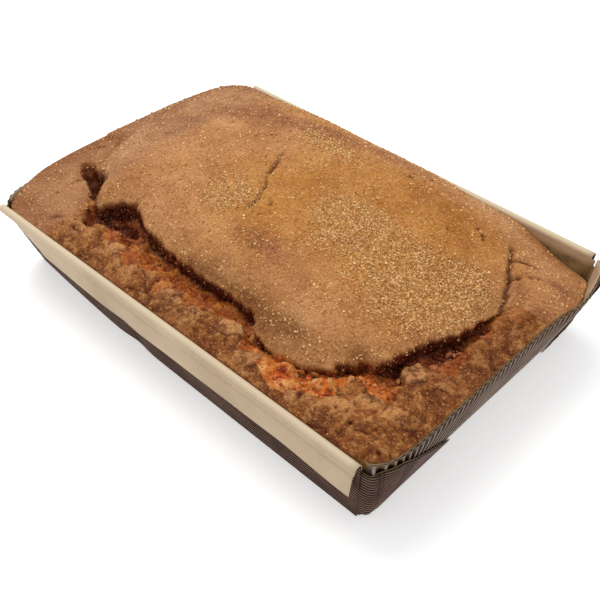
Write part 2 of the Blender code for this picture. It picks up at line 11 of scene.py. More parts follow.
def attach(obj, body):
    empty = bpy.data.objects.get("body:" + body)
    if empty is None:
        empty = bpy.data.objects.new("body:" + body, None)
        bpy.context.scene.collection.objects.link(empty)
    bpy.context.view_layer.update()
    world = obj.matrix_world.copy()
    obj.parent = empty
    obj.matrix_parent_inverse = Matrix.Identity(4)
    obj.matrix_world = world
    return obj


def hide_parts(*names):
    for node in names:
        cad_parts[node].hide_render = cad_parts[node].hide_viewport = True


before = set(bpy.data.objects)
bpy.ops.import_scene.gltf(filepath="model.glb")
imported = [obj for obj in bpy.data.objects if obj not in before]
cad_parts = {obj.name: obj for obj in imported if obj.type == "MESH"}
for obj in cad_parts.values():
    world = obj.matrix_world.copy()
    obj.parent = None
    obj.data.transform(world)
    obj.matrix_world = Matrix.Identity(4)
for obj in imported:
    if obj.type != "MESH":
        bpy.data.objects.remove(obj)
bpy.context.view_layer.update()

# All lengths are in millimetres until a mesh is made.
MM = 0.001

# Paper. The rows and columns say how finely each part is divided.
SHEET = 1.2
LINER = 0.25
GLUE = 0.02
FLUTE_PITCH = 1.87
FIRST_FLUTE = 1.0
SAMPLES_PER_FLUTE = 8
SAMPLES_PER_END_FLUTE = 14
END_FLUTES = 45
END_SHEET = 1.7
FOLD_ROOM = 0.62
FOLD_ROWS = (0.4, 1.2)
RIM_PRESSED = 0.5
RIM_PRESSED_RUN = 4.0
CRUSHED_DEPTH = 0.3
WALL_COLUMNS = 61
LEFT_END_COLUMNS = (-0.996, -0.988)
SKIRT_ROWS = 84
END_ROWS = 15
BASE_COLUMNS = 41

# Tray.
BASE_HALF_X = 108.6
BASE_HALF_Y = 73.6
CORNER_DRAWN_IN = 4.8
CORNER_FROM_X = -20.0
DENT_X = -26.0
DENT_WIDTH = 8.0
DENT_DEPTH = 1.2
WALL_TOP = 38.0
RIM_HALF_NEAR = 79.4
RIM_HALF_FAR = 80.6
RIM_SKEW = 1.3
HEM_END_OUT = 3.4
HEM_RADIUS = 2.0
PALE_RIM = 5.0
PALE_RIM_RUN = 4.0
HEM_TRIMMED = {-1: 0.0, 1: 2.0}
SKIRT_BOTTOM = 19.5
SKIRT_BOTTOM_RISE = 2.0
SKIRT_GROOVE = 0.5
GROOVE_SHARE = 0.17
GROOVE_WIDTH = 0.075
SKIRT_WAVES = 0.12
SKIRT_WAVE_LENGTH = 17.0
SKIRT_FLARE = 1.6
SKIRT_FLARE_FROM_X = 70.0
END_RIM_HEIGHT = 40.0
END_CORNER_OUT = 3.4
END_BULGE = {1: 8.5, -1: 10.4}
END_BULGE_RUN = {1: 6.0, -1: 16.0}
EAR_Y = 50.0
EAR_WIDTH = 13.0
EAR_OUT = 2.6
END_ROUNDNESS = 0.8
EAR_FLARE = 0.8
EAR_FLARE_FROM_Y = 28.0
EAR_FLARE_RUN = 70.0
END_SIDE_GAP = {(1, -1): 0.9, (1, 1): 0.9, (-1, -1): 4.0, (-1, 1): 1.5}
END_SIDE_GAP_RISE = 12.0
SCALLOP = 0.25
SCALLOP_FROM = 30.0
SCALLOP_RUN = 10.0
UNBAKED_FROM_Y = 50.0
UNBAKED_RUN = 14.0

# Heights along the near skirt's cut ends, and how far out it reaches there.
SKIRT_CUT = {
    -1: ((19, 86), (24, 88), (29, 93.5), (34.5, 100), (36, 109), (38, 112)),
    1: ((19, 109.2), (34, 110.9), (38, 112)),
}

# Corner flaps.
FLAP_LENGTH = {-1: 50.0, 1: 23.0}
FLAP_FOOT = 5.3
FLAP_TOP = 34.8
FLAP_RAISED = 2.6
FLAP_RAISED_RUN = 5.0
FLAP_LOWERED = 4.3
FLAP_LOWERED_FROM = 4.0
FLAP_LOWERED_RUN = 15.0
FLAP_LEVEL_RUN = 12.5
FLAP_TIP_HEIGHT = 8.0
FLAP_BEND = 2.4
FLAP_GAP = 0.4
FLAP_CRUSHED = 0.85
FLAP_CRUSHED_FROM = 16.0
FLAP_CRUSHED_RUN = 12.0
FLAP_CRUSHED_SLANT = 0.35
FLAP_COLUMNS = {-1: 40, 1: 20}
FLAP_BEND_COLUMNS = 9

# Cake.
CLEARANCE = 0.15
CAKE_BOTTOM = SHEET + 0.5
CAKE_GRID = (361, 253)
DENSER = 1.1
DENSE_TO = -0.3
SIDE_SHARES = (0.97, 0.9, 0.75, 0.5, 0.25, 0.0)
CORNER_ROUNDING = 1.4
DRAWN_RUN = 5.0
DRAWN_POWER = 0.7
DRAWN_TURNS = 4
FREE_FROM_WALL = 8.0
FACE_BAND = 0.45
PLAIN_END_BAND = 2.5
MARGIN = 39.4
LEFT_MARGIN_RISE = 4.0
LEFT_MARGIN_FROM_X = -80.0
LEFT_MARGIN_RUN = 42.0
RIGHT_MARGIN_RISE = 1.4
RIGHT_MARGIN_FROM_X = 85.0
RIGHT_MARGIN_RUN = 30.0

# Where the cake's edge is low: a corner, how far from it, and the drop.
LOW_CORNERS = (((113.0, 80.0), (50.0, 42.0), 12.5), ((-112.0, -80.0), (40.0, 30.0), 3.0))

# Form of the cake's top, as in the solid.
WALL_X = 121.0
WALL_Y = 81.0
DOME_RISE = 21.5
DOME_MIDDLE_X = -8.0
DOME_LEFT_RUN = 116.0
DOME_RIGHT_RUN = 131.0
DOME_NEAR_RUN = 81.0
DOME_FAR_RUN = 82.0
FAR_SHOULDER_SET_IN = 3.0
FAR_SHOULDER_FROM_X = 20.0
FAR_SHOULDER_RUN = 40.0
DOME_POWERS = (2.8, 4.2)
SUNK_CORNER = (118.0, 82.0)
SUNK_CORNER_RUN = (32.0, 28.0)
SUNK_SHARE = 0.75
SWELL = (-48.0, 62.0)
SWELL_RUN = (25.0, 14.0)
SWELL_RISE = 1.2
MEAN_LIP = 6.0
LIP_RUN = 9.0
TORN_LIP = 3.0
LID_RISE = 24.0
SOFTNESS = 3.0
LID_RIPPLE = (0.5, 42.0)
LID_RIPPLE_FADE = 12.0
SHELF_RISE = 3.2
SHELF_RUN = 16.0
SHELF_RIPPLE = (0.45, 13.0)
SHELF_RIPPLE_FADE = 5.0
CRACK_DEPTH = 3.6
CRACK_FLOOR = 2.5
CRACK_RUN = 4.5
CRUMB_DROP = 1.6
CRUMB_EDGE = 5.0
PLATE = 8.5
PLATE_SPREAD = 5.5
PLAIN_END_X = -74.0
PLAIN_END_RUN = 9.0
OUTSIDE = 150.0

# Fine relief. Four numbers together are a height, a size, a seed and how many ever finer sizes there are.
RAGGED = (1.5, 6.5, 11, 4)
FINELY_RAGGED = (1.7, 3.4, 12, 2)
KNOBS = (0.85, 5.5, 49, 4)
SMALL_KNOB = 2.8
SMALL_KNOB_HEIGHT = 0.95
GRIT = (0.12, 1.5, 48, 2)
CRUST_BUMPS = (0.16, 3.4, 51, 3)
CRUST_GRAIN = 0.09
CRUMB_SWELLS = (1.7, 5.0, 75, 4)
CRUMB_SUNK = 0.9
LUMP_HEIGHT = 1.2
TORN_BIT = 4.2
HEAP_HEIGHT = 0.4
BRIGHT_HEAP_HEIGHT = 3.0
HEAP_BEFORE_LID = 3.2
HEAP_RUN = 2.4
GAP_DEPTH = 2.2
GAP_RUN = 0.9
FISSURE_DEPTH = 0.8
OVERHANG = 0.8
OVERHANG_BUMPS = (0.9, 12.0, 71, 2)
BROKEN_FACE = (0.7, 3.0, 76, 3)
FACE_TUCK = 1.3
FACE_REACH = 2.2
BRIGHT_FACE_LESS = 1.6
FACE_BUMPS = (0.9, 7.0, 72, 2)
LID_ROUNDING = 0.12
LID_ROUNDING_RUN = 0.9
PLATES_MISSING = 1.5
LONE_PLATE = 0.93
FINE_PLATE = 2.9
ALWAYS_OPEN = 2.4
CRUMB_LUMP = 6.0
PORE_DEPTH = 1.3
PORE_EDGE = 0.6
NARROW_CRACK = 1.0
CRACK_CUT_RUN = 1.15
POCKET_FROM = 1.5
POCKET_EDGE = 1.1
DARK_DEPTH = 2.2

# Edge of the raised lid of crust: x, y, the height of the step there and how far the open crumb
# reaches before it.
LID_EDGE = (
    (-110, -14, 0.0, 2), (-101, -30, 1.5, 2.5), (-92, -41, 3.5, 3.5), (-82, -50, 5.5, 3.5),
    (-71, -55, 8.0, 8), (-65, -47, 9.0, 18), (-56, -43, 8.5, 20), (-45, -49, 7.5, 13),
    (-29, -52.5, 7.5, 15), (-8, -53.5, 7.0, 12), (8, -53, 6.5, 11), (23, -53, 6.5, 11),
    (33, -54.5, 6.5, 10), (41, -61, 6.0, 7), (53, -64, 6.0, 9), (66, -62, 6.5, 10),
    (76, -56, 7.0, 8), (82, -46.5, 8.5, 11), (89, -40, 9.5, 12), (91.5, -31, 9.5, 11),
    (94.5, -18, 8.0, 11), (98.5, -8, 6.0, 11), (100.5, 3, 4.0, 9), (102, 17, 1.5, 5),
    (108, 25, 0.0, 2),
)

# Narrow cracks and the pockets along the wide one: points with the depth there, and half the width.
CRACKS = (
    (((-27, 27, 0), (-21.5, 12, 2.0), (-18, 4, 2.4), (-9, -9, 2.2), (-6, -19, 1.2), (-7, -25, 0)), 0.8),
    (((85, 52, 0), (89, 45, 2.2), (94, 37, 2.6), (102, 22.5, 2.6), (104, 16, 0)), 0.9),
    (((91, 42, 1.5), (96, 47, 1.4), (101, 50, 1.0)), 0.8),
    (((97, 32, 1.8), (101, 39, 1.6), (105, 43.5, 1.1)), 0.8),
    (((-99, -40, 3), (-94, -40, 7), (-88, -43, 7), (-84, -46, 4)), 3.2),
    (((-69, -62, 3), (-62, -56, 5), (-54, -51, 4), (-48, -55, 1)), 2.8),
    (((66, -66.5, 0.5), (71, -63, 3), (77, -60, 1.5), (80, -57, 0)), 1.1),
)

# Cracks too fine for the solid, most of them in the smooth crust at the left end.
FINE_CRACKS = (
    (((-99, -65, 0), (-97.5, -61, 0.9), (-96, -58, 0)), 0.5),
    (((-98, -54, 0), (-97.5, -49, 1.1), (-97, -45, 0.6)), 0.5),
    (((-89, -75, 0), (-84, -71, 1.1), (-79, -67.5, 0.3)), 0.55),
    (((-77, -70, 0.4), (-72, -69.5, 1.6), (-64, -71, 0.2)), 0.7),
    (((-117, -27, 0.3), (-113, -22, 0.8)), 1.4),
    (((-88, -44, 3), (-80, -51, 2.0), (-73, -57, 2.2)), 2.4),
    (((-103, -38, 4), (-96, -40, 6), (-90, -43, 5)), 2.8),
    (((97, -41, 1.4), (97, -36, 0.8)), 1.0),
    (((-48, -12, 0), (-40, -8, 0.5), (-35, -1, 0)), 0.6),
)

# Small round holes in the crust: x, y and half the width.
PORES = (
    (-54.4, 31.6, 0.9), (-41.8, 29.7, 1.3), (-33.2, 26.7, 1.0), (0, -12, 1.3), (63, 33, 1.2),
    (71, 44.5, 1.3), (75, 42.5, 1.5), (77, 40.5, 1.1), (27, 52, 1.6), (34, 60, 1.3), (-47, 3, 0.8),
    (22, 20, 0.7),
    (98, -69, 1.3), (114, -72, 1.2), (118, -30, 1.0), (-89, -79, 0.8),
)

# Shallow hollows in the lid: x, y, width and depth.
DIMPLES = ((29, -5, 9, 0.8), (50, -44, 8, 0.9), (31, -50, 7, 0.8), (-40, -34, 9, 0.5))

# Patches of the crust and crumb: middle x and y, and half the width along and across.
GOLDEN = ((0, -5, 46, 34), (66, 0, 34, 30), (40, 40, 50, 20), (-40, 66, 60, 12))
SUGARED = ((62, -6, 26, 24), (28, 4, 18, 16), (88, 4, 12, 22), (-19, -20, 15, 11), (-15, 43, 16, 8))
BROWNED = (
    (-76, 36, 22, 9), (-50, 47, 26, 8), (-22, 50, 18, 8), (10, 62, 22, 8), (16, -32, 20, 6),
    (104, 31, 5, 4), (112, 48, 5, 4), (116, 28, 4, 5), (112, 10, 5, 4),
)
# SHADED: painted shade along the lid's edge, where the crust slopes away from the light, with some browning
# of the crust there.
SHADED = ((34, -56, 12, 5), (57, -55, 10, 4), (82, -46, 6, 5), (14, -55, 18, 3.5))
BRIGHT = ((58, -70, 20, 9), (78, -62, 18, 10), (91, -51, 9, 8))
# DEEP: the crumb's own dark red, with painted shade in the cavities under the lid.
DEEP = ((95, -31, 8, 14), (98, -12, 7, 9), (-58, -52, 13, 7), (-70, -60, 9, 6))

# How uneven the patches' edges are, in the same four numbers.
GOLDEN_BUMPS = (0.35, 22.0, 85, 3)
SUGARED_BUMPS = (0.45, 16.0, 83, 3)
BROWNED_BUMPS = (0.35, 12.0, 84, 4)
SHADED_BUMPS = (0.25, 9.0, 86, 3)
SHADED_RUN = 5.0
SHADED_RUN_BUMPS = (3.0, 15.0, 73, 2)

# What lies scattered: how many, the smallest and largest size, how far small sizes are favoured, and how
# far each stands out of the surface, in its own size.
SUGAR = (16000, 0.5, 0.8, 1.8, 0.15)
CLODS = (150, 0.9, 2.4, 1.0, -0.22)
LOOSE_CRUMBS = (1100, 0.4, 1.0, 1.0, 0.1)

# Where the tints of a ramp stand, from dark to light.
TONE_STOPS = (0.36, 0.5, 0.64)
SHELF_STOPS = (0.34, 0.5, 0.64)
CRUMB_STOPS = (0.34, 0.43, 0.53, 0.66)
DEEP_STOPS = (0.36, 0.5, 0.66)
CLOD_STOPS = (0.3, 0.5, 0.7)
PAPER_STOPS = (0.35, 0.65)
FLUTE_STOPS = (0.3, 0.7)

# Stage. The camera's place is how far it stands to the right, up and back, seen from its own angles.
# Each lamp has a power, a size, an azimuth, an elevation, a distance in metres and a colour.
CAMERA_AZIMUTH = 43.77
CAMERA_ELEVATION = 41.99
CAMERA_ROLL = 0.392
CAMERA_AWAY = (4.636, -2.978, 432.157)
CAMERA_LENS = 52.63
LAMPS = (
    ("softbox", 7.5, 1.0, 250, 62, 1.2, (1.0, 0.985, 0.96)),
    ("fill", 1.2, 0.8, 60, 35, 1.3, (1.0, 1.0, 1.0)),
)
SKY_STRENGTH = 0.62
FLOOR_GLOW = 0.42
FLOOR_REACH = 3.0


def smooth(value):
    """From 0 to 1, slow at both ends."""
    value = np.clip(value, 0.0, 1.0)
    return value * value * (3.0 - 2.0 * value)


def hump(value, run, middle=0.0):
    """1 at the middle, and down to about a third at the given run from it."""
    return np.exp(-(((value - middle) / run) ** 2))


def bell(x, y, middle, run):
    """A smooth hill of height 1, which is down to about a third at the given runs."""
    return np.exp(-(((x - middle[0]) / run[0]) ** 2) - ((y - middle[1]) / run[1]) ** 2)


def patches(x, y, places):
    """How far inside any of the patches each point is."""
    return sum(bell(x, y, place[:2], place[2:]) for place in places)


def together(*numbers):
    """The numbers of each point side by side, such as its x, y and z."""
    return np.stack(np.broadcast_arrays(*numbers), -1)


# Repeatable noise on arrays.

def lattice(i, j, seed):
    """A number between 0 and 1 for each whole-number place."""
    mixed = (i.astype(np.int64) * 374761393 + j.astype(np.int64) * 668265263 + seed * 974634777) & 0xFFFFFFFF
    mixed = ((mixed ^ (mixed >> 13)) * 1274126177) & 0xFFFFFFFF
    return ((mixed ^ (mixed >> 16)) & 0xFFFFFF) / 0xFFFFFF


def noise(x, y, size, seed):
    """Smooth bumps of about this size, between -1 and 1."""
    u, v = x / size, y / size
    i, j = np.floor(u), np.floor(v)
    a, b = smooth(u - i), smooth(v - j)
    low = lattice(i, j, seed) * (1 - a) + lattice(i + 1, j, seed) * a
    high = lattice(i, j + 1, seed) * (1 - a) + lattice(i + 1, j + 1, seed) * a
    return 2 * (low * (1 - b) + high * b) - 1


def fractal(x, y, size, seed, octaves=3):
    """Smooth bumps with finer ones on them, between -1 and 1."""
    total, reach, weight = 0.0, 0.0, 1.0
    for k in range(octaves):
        turn = 0.6 + 1.1 * k
        across = x * math.cos(turn) - y * math.sin(turn)
        up = x * math.sin(turn) + y * math.cos(turn)
        total = total + weight * noise(across, up, size, seed + 17 * k)
        reach += weight
        weight *= 0.55
        size *= 0.47
    return total / reach


def relief(x, y, *forms):
    """Bumps of one or more forms: a height, a size, a seed and how many ever finer sizes there are."""
    return sum(height * fractal(x, y, size, seed, octaves) for height, size, seed, octaves in forms)


def cells(x, y, size, seed):
    """Distance to the nearest and second nearest of scattered spots, in cell sizes, and a number
    and the place of the nearest one."""
    u, v = x / size, y / size
    i, j = np.floor(u), np.floor(v)
    first = np.full(x.shape, 9.0)
    second = np.full(x.shape, 9.0)
    owner, near_u, near_v = np.zeros(x.shape), np.zeros(x.shape), np.zeros(x.shape)
    for di in (-1, 0, 1):
        for dj in (-1, 0, 1):
            spot_u = i + di + lattice(i + di, j + dj, seed)
            spot_v = j + dj + lattice(i + di, j + dj, seed + 1)
            away = np.hypot(u - spot_u, v - spot_v)
            second = np.minimum(second, np.maximum(first, away))
            nearer = away < first
            owner = np.where(nearer, lattice(i + di, j + dj, seed + 2), owner)
            near_u = np.where(nearer, spot_u, near_u)
            near_v = np.where(nearer, spot_v, near_v)
            first = np.minimum(first, away)
    return first, second, owner, near_u * size, near_v * size


def shifted(x, y, bumps, reach, size, seed):
    """Each point moved about unevenly, by up to the reach both ways."""
    return x + reach * bumps(x, y, size, seed), y + reach * bumps(x, y, size, seed + 1)


def lumpy(x, y, size, seed):
    """Rounded lumps pressed together, from 0 in the gaps to about 1, and a number for each lump."""
    first, _, chance, _, _ = cells(*shifted(x, y, noise, 0.35 * size, 0.8 * size, seed + 5), size, seed)
    return np.sqrt(np.clip(1 - (first / 0.66) ** 2, 0, 1)) * (0.55 + 0.9 * chance) / 1.2, chance


def ripple(x, y, size, seed):
    """Smooth uneven bumps of about this size, between -1 and 1."""
    rng = np.random.default_rng(seed)
    total = np.zeros_like(x)
    for _ in range(9):
        angle = rng.uniform(0, math.pi)
        length = size * rng.uniform(0.7, 1.5)
        phase = (x * math.cos(angle) + y * math.sin(angle)) / length
        total += np.sin(2 * math.pi * phase + rng.uniform(0, 2 * math.pi))
    return np.clip(total / 4.0, -1.0, 1.0)


# Meshes from grids of points.

def grid_faces(rows, columns, start=0, flip=False):
    index = np.arange(rows * columns).reshape(rows, columns) + start
    quads = together(index[:-1, :-1], index[:-1, 1:], index[1:, 1:], index[1:, :-1]).reshape(-1, 4)
    return quads[:, ::-1] if flip else quads


def grid_rim(rows, columns):
    """The points round the rim of a grid, in order."""
    index = np.arange(rows * columns).reshape(rows, columns)
    return np.concatenate([index[0, :-1], index[:-1, -1], index[-1, :0:-1], index[:0:-1, 0]])


class Pile:
    """Points and faces gathered into one mesh, with a few numbers at each point."""

    def __init__(self):
        self.points, self.faces, self.marks, self.count = [], [], [], 0

    def add(self, points, *faces, **marks):
        """Points, and grids of faces with three or four corners each."""
        points = np.asarray(points, float).reshape(-1, 3)
        self.faces += [grid.reshape(-1, grid.shape[-1]) + self.count for grid in faces]
        self.points.append(points)
        self.marks.append((len(points), marks))
        self.count += len(points)

    def slab(self, front, back, flip=False, **marks):
        """A closed sheet between two grids of points."""
        rows, columns = front.shape[:2]
        size = rows * columns
        around = grid_rim(rows, columns)
        after = np.roll(around, -1)
        edge = together(after, around, around + size, after + size)
        both = {key: np.tile(np.ravel(value), 2) for key, value in marks.items()}
        self.add(
            np.concatenate([front.reshape(-1, 3), back.reshape(-1, 3)]), grid_faces(rows, columns, 0, flip),
            grid_faces(rows, columns, size, not flip), edge[:, ::-1] if flip else edge, **both,
        )

    def make(self, name, surface, slot, replaced=None, shade_smooth=True):
        """The piece itself, on the one body."""
        corners = np.concatenate([np.full(len(grid), grid.shape[1]) for grid in self.faces])
        loops = np.concatenate([grid.ravel() for grid in self.faces])
        mesh = bpy.data.meshes.new(name)
        mesh.vertices.add(self.count)
        mesh.vertices.foreach_set("co", (np.concatenate(self.points) * MM).ravel())
        mesh.loops.add(len(loops))
        mesh.loops.foreach_set("vertex_index", loops.astype(np.int32))
        mesh.polygons.add(len(corners))
        mesh.polygons.foreach_set("loop_start", (np.cumsum(corners) - corners).astype(np.int32))
        mesh.update(calc_edges=True)
        mesh.polygons.foreach_set("use_smooth", np.full(len(corners), shade_smooth))
        for key in sorted({key for _, marks in self.marks for key in marks}):
            values = [np.broadcast_to(np.ravel(marks.get(key, 0.0)), count) for count, marks in self.marks]
            layer = mesh.attributes.new(key, "FLOAT", "POINT")
            layer.data.foreach_set("value", np.concatenate(values).astype(np.float32))
        mesh.validate()
        mesh.materials.append(surface)
        made = bpy.data.objects.new(name, mesh)
        bpy.context.scene.collection.objects.link(made)
        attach(made, "root")
        if replaced:
            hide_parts(replaced)


def outward(grid, toward):
    """Unit normals of a grid of points, on the side of the given direction."""
    normal = np.cross(np.gradient(grid, axis=1), np.gradient(grid, axis=0))
    normal /= np.maximum(np.linalg.norm(normal, axis=-1, keepdims=True), 1e-12)
    sign = np.sign(np.sum(normal * toward, axis=-1, keepdims=True))
    return normal * np.where(sign == 0, 1, sign)


# Shape of the tray's liner, as in the solid.

def fold_half(side, x):
    """Half the width at the fold, drawn in towards the left end and dented on the near side."""
    drawn_in = CORNER_DRAWN_IN * np.maximum(0, (CORNER_FROM_X - x) / (CORNER_FROM_X + BASE_HALF_X)) ** 1.5
    dent = DENT_DEPTH * hump(x, DENT_WIDTH, DENT_X)
    return BASE_HALF_Y - np.where(np.asarray(side) > 0, 0.0, drawn_in + dent)


def rim_half(side, x):
    return np.where(np.asarray(side) > 0, RIM_HALF_FAR, RIM_HALF_NEAR - RIM_SKEW * x / BASE_HALF_X)


def wall_half(side, x, height):
    share = (height - SHEET) / (WALL_TOP - SHEET)
    return fold_half(side, x) + share * (rim_half(side, x) - fold_half(side, x))


def wall_end(height):
    return BASE_HALF_X + HEM_END_OUT * np.minimum(1.0, (height - SHEET) / (WALL_TOP - SHEET))


def end_rim(end, y):
    """How far out an end wall's rim reaches."""
    side = np.where(y > 0, 1, -1)
    inside = np.maximum(0.0, rim_half(side, end * BASE_HALF_X) - np.abs(y))
    bulge = END_BULGE[end] * (1 - np.exp(-inside / END_BULGE_RUN[end]))
    if end > 0:
        bulge = bulge + EAR_OUT * hump(y, EAR_WIDTH, EAR_Y)
    return BASE_HALF_X + END_CORNER_OUT + bulge


def end_x(end, y, height):
    share = np.maximum(0, (height - SHEET) / (END_RIM_HEIGHT - SHEET))
    flare = END_ROUNDNESS + EAR_FLARE * smooth((y - EAR_FLARE_FROM_Y) / EAR_FLARE_RUN)
    return BASE_HALF_X + (end_rim(end, y) - BASE_HALF_X) * share**flare


# The tray's two layers of paper.

def two_layers(liners, flutes, front, normal, across, flip, room=SHEET, crushed=0.0, **marks):
    """The smooth liner, and behind it the wavy paper glued to it, which may be crushed flat."""
    room = np.broadcast_to(room, across.shape)[..., None]
    liners.slab(front, front + normal * LINER, flip, **marks)
    depth = 0.5 - 0.5 * np.cos(2 * np.pi * across)
    depth = depth + (CRUSHED_DEPTH - depth) * crushed
    inner = LINER + GLUE + (room - 2 * LINER - GLUE) * depth[..., None]
    # How far out each point stands in its flute is kept as a mark, for a painted highlight on the crests.
    flutes.slab(front + normal * inner, front + normal * (inner + LINER), flip, tip=depth, **marks)


def long_side(liners, flutes, side):
    """A long wall, the roll at its top and the skirt outside it. Each row of points has its places, the
    normals, how far across the flutes it is, the mark outer, and the mark rolled: a painted highlight on the
    roll's top."""
    fractions = np.unique(np.concatenate([np.linspace(-1, 1, WALL_COLUMNS), LEFT_END_COLUMNS]))
    step = FLUTE_PITCH / SAMPLES_PER_FLUTE
    rows = []
    for height in np.concatenate([[SHEET], np.arange(SHEET + FOLD_ROWS[0], WALL_TOP - 0.1, step)]):
        x = fractions * wall_end(height)
        lean = np.arctan2(rim_half(side, x) - fold_half(side, x), WALL_TOP - SHEET)
        rows.append(together(
            x, side * wall_half(side, x, height), height, 0, side * np.cos(lean), -np.sin(lean),
            height - SHEET - FIRST_FLUTE, smooth((height - WALL_TOP + PALE_RIM) / PALE_RIM_RUN), 0,
        ))
    hem_end = wall_end(WALL_TOP) - HEM_TRIMMED[side]
    x = fractions * hem_end
    middle = side * (rim_half(side, x) + HEM_RADIUS)
    travelled = WALL_TOP - SHEET - FIRST_FLUTE
    arc = math.pi * (HEM_RADIUS - SHEET / 2)
    for turn in np.linspace(math.pi, 0, int(arc / step) + 1):
        out, up = side * math.cos(turn), math.sin(turn)
        # The last number is a painted highlight, strongest on the top of the roll.
        rows.append(together(
            x, middle + out * HEM_RADIUS, WALL_TOP + up * HEM_RADIUS, 0, -out, -up,
            travelled + arc * (1 - turn / math.pi), 1, up,
        ))
    travelled += arc
    for share in np.linspace(0, 1, SKIRT_ROWS)[1:]:
        bottom = SKIRT_BOTTOM + SKIRT_BOTTOM_RISE * fractions**2
        height = WALL_TOP + share * (bottom - WALL_TOP)
        x = fractions * hem_end
        flare = 0
        if side < 0:
            left, right = (np.interp(height, *zip(*SKIRT_CUT[end])) for end in (-1, 1))
            x = np.clip(x, -left, right)
            flare = SKIRT_FLARE * smooth((x - SKIRT_FLARE_FROM_X) / (BASE_HALF_X - SKIRT_FLARE_FROM_X))
        groove = SKIRT_GROOVE * hump(share, GROOVE_WIDTH, GROOVE_SHARE)
        half = wall_half(side, x, height) + 2 * HEM_RADIUS + flare * share - groove
        half = half + SKIRT_WAVES * noise(x + 40 * side, height, SKIRT_WAVE_LENGTH, 5)
        rows.append(together(x, side * half, height, 0, -side, 0, travelled + WALL_TOP - height, 1, 0))
    rows = np.array(rows)
    across, outer, rolled = rows[..., 6] / FLUTE_PITCH, rows[..., 7], rows[..., 8]
    two_layers(liners, flutes, rows[..., :3], rows[..., 3:6], across, side < 0, outer=outer, rolled=rolled)


def flap(liners, flutes, side, end):
    """The long wall's paper carried round the corner, outside the end wall."""
    bend = np.linspace(0, 1, FLAP_BEND_COLUMNS)
    run = np.linspace(0, FLAP_LENGTH[side] - FLAP_BEND, FLAP_COLUMNS[side])[1:]
    inside = np.concatenate([bend**2 * FLAP_BEND, FLAP_BEND + run])
    station = np.concatenate([bend, np.ones(len(run))])
    highest = FLAP_TOP + FLAP_RAISED
    fallen = np.clip((inside - FLAP_LEVEL_RUN) / (FLAP_LENGTH[side] - FLAP_LEVEL_RUN), 0, 1)
    slope = highest + (FLAP_TIP_HEIGHT - highest) * fallen
    top = np.minimum(FLAP_TOP + FLAP_RAISED * smooth(inside / FLAP_RAISED_RUN), slope)
    foot = FLAP_FOOT - FLAP_LOWERED * smooth((inside - FLAP_LOWERED_FROM) / FLAP_LOWERED_RUN)
    count = int((highest - FLAP_FOOT) / FLUTE_PITCH * SAMPLES_PER_FLUTE)
    height = foot + np.linspace(0, 1, count)[:, None] * (top - foot)
    wall_y = wall_half(side, end * wall_end(height), height)
    out = END_SHEET + FLAP_GAP
    run_x = end_x(end, side * (wall_y - FLAP_BEND), height) + out
    bent_x = (1 - station) ** 2 * wall_end(height) + (1 - (1 - station) ** 2) * run_x
    y = wall_y - inside
    beside = end_x(end, side * y, height) + out
    front = together(end * np.where(inside > FLAP_BEND, beside, bent_x), side * y, height)
    normal = outward(front, np.array([end, 0.3 * side, 0.0]))
    across = (height - SHEET - FIRST_FLUTE) / FLUTE_PITCH
    crushed_from = inside + FLAP_CRUSHED_SLANT * (FLAP_TOP - height) - FLAP_CRUSHED_FROM
    crushed = FLAP_CRUSHED * smooth(crushed_from / FLAP_CRUSHED_RUN)
    flip = (side < 0) != (end < 0)
    two_layers(liners, flutes, front, normal, across, flip, crushed=crushed, crushed_here=crushed)


def end_wall(liners, flutes, end):
    """An unfolded end wall, which leans and bulges outward up to its cut, scalloped rim."""
    share = np.linspace(-1, 1, END_FLUTES * SAMPLES_PER_END_FLUTE + 1)
    side = np.where(share > 0, 1, -1)
    heights = [SHEET, *(SHEET + row for row in FOLD_ROWS), *np.linspace(5, END_RIM_HEIGHT, END_ROWS)]
    scallop = SCALLOP * noise(share * 60, 0 * share, 2.0, 31 + end)
    widest_gap = np.where(share > 0, END_SIDE_GAP[end, 1], END_SIDE_GAP[end, -1])
    front = []
    for height in heights:
        gap = widest_gap * smooth((height - SHEET) / END_SIDE_GAP_RISE) ** 0.5
        y = share * (wall_half(side, end * BASE_HALF_X, min(height, WALL_TOP)) - gap)
        level = height + scallop * smooth((height - SCALLOP_FROM) / SCALLOP_RUN)
        front.append(together(end * end_x(end, y, height), y, level))
    front, heights = np.array(front), np.array(heights)
    normal = outward(front, np.array([end, 0.0, 0.0]))
    across = np.broadcast_to((share + 1) / 2 * END_FLUTES, front.shape[:2])
    room = FOLD_ROOM + (END_SHEET - FOLD_ROOM) * smooth((heights - SHEET) / FOLD_ROWS[1])
    room = room - RIM_PRESSED * smooth((heights - END_RIM_HEIGHT + RIM_PRESSED_RUN) / RIM_PRESSED_RUN)
    rim = smooth((front[..., 2] - END_RIM_HEIGHT + 0.7) / 0.6)
    unbaked = smooth((front[..., 1] - UNBAKED_FROM_Y) / UNBAKED_RUN) * (end > 0)
    marks = {"outer": np.maximum(0.6 * rim, unbaked), "rim": rim, "upright": np.ones(rim.shape)}
    two_layers(liners, flutes, front, normal, across, end < 0, room[:, None], **marks)


def base(liners, flutes):
    """The flat bottom, with its flutes along the tray."""
    count = int(2 * BASE_HALF_Y / (FLUTE_PITCH / SAMPLES_PER_FLUTE))
    share_y = np.linspace(-1, 1, count)[:, None]
    x = np.linspace(-1, 1, BASE_COLUMNS)[None, :] * BASE_HALF_X
    y = share_y * fold_half(np.where(share_y > 0, 1, -1), x)
    front = together(x, y, SHEET)
    normal = np.broadcast_to(np.array([0.0, 0.0, -1.0]), front.shape)
    two_layers(liners, flutes, front, normal, (y + BASE_HALF_Y) / FLUTE_PITCH, False)


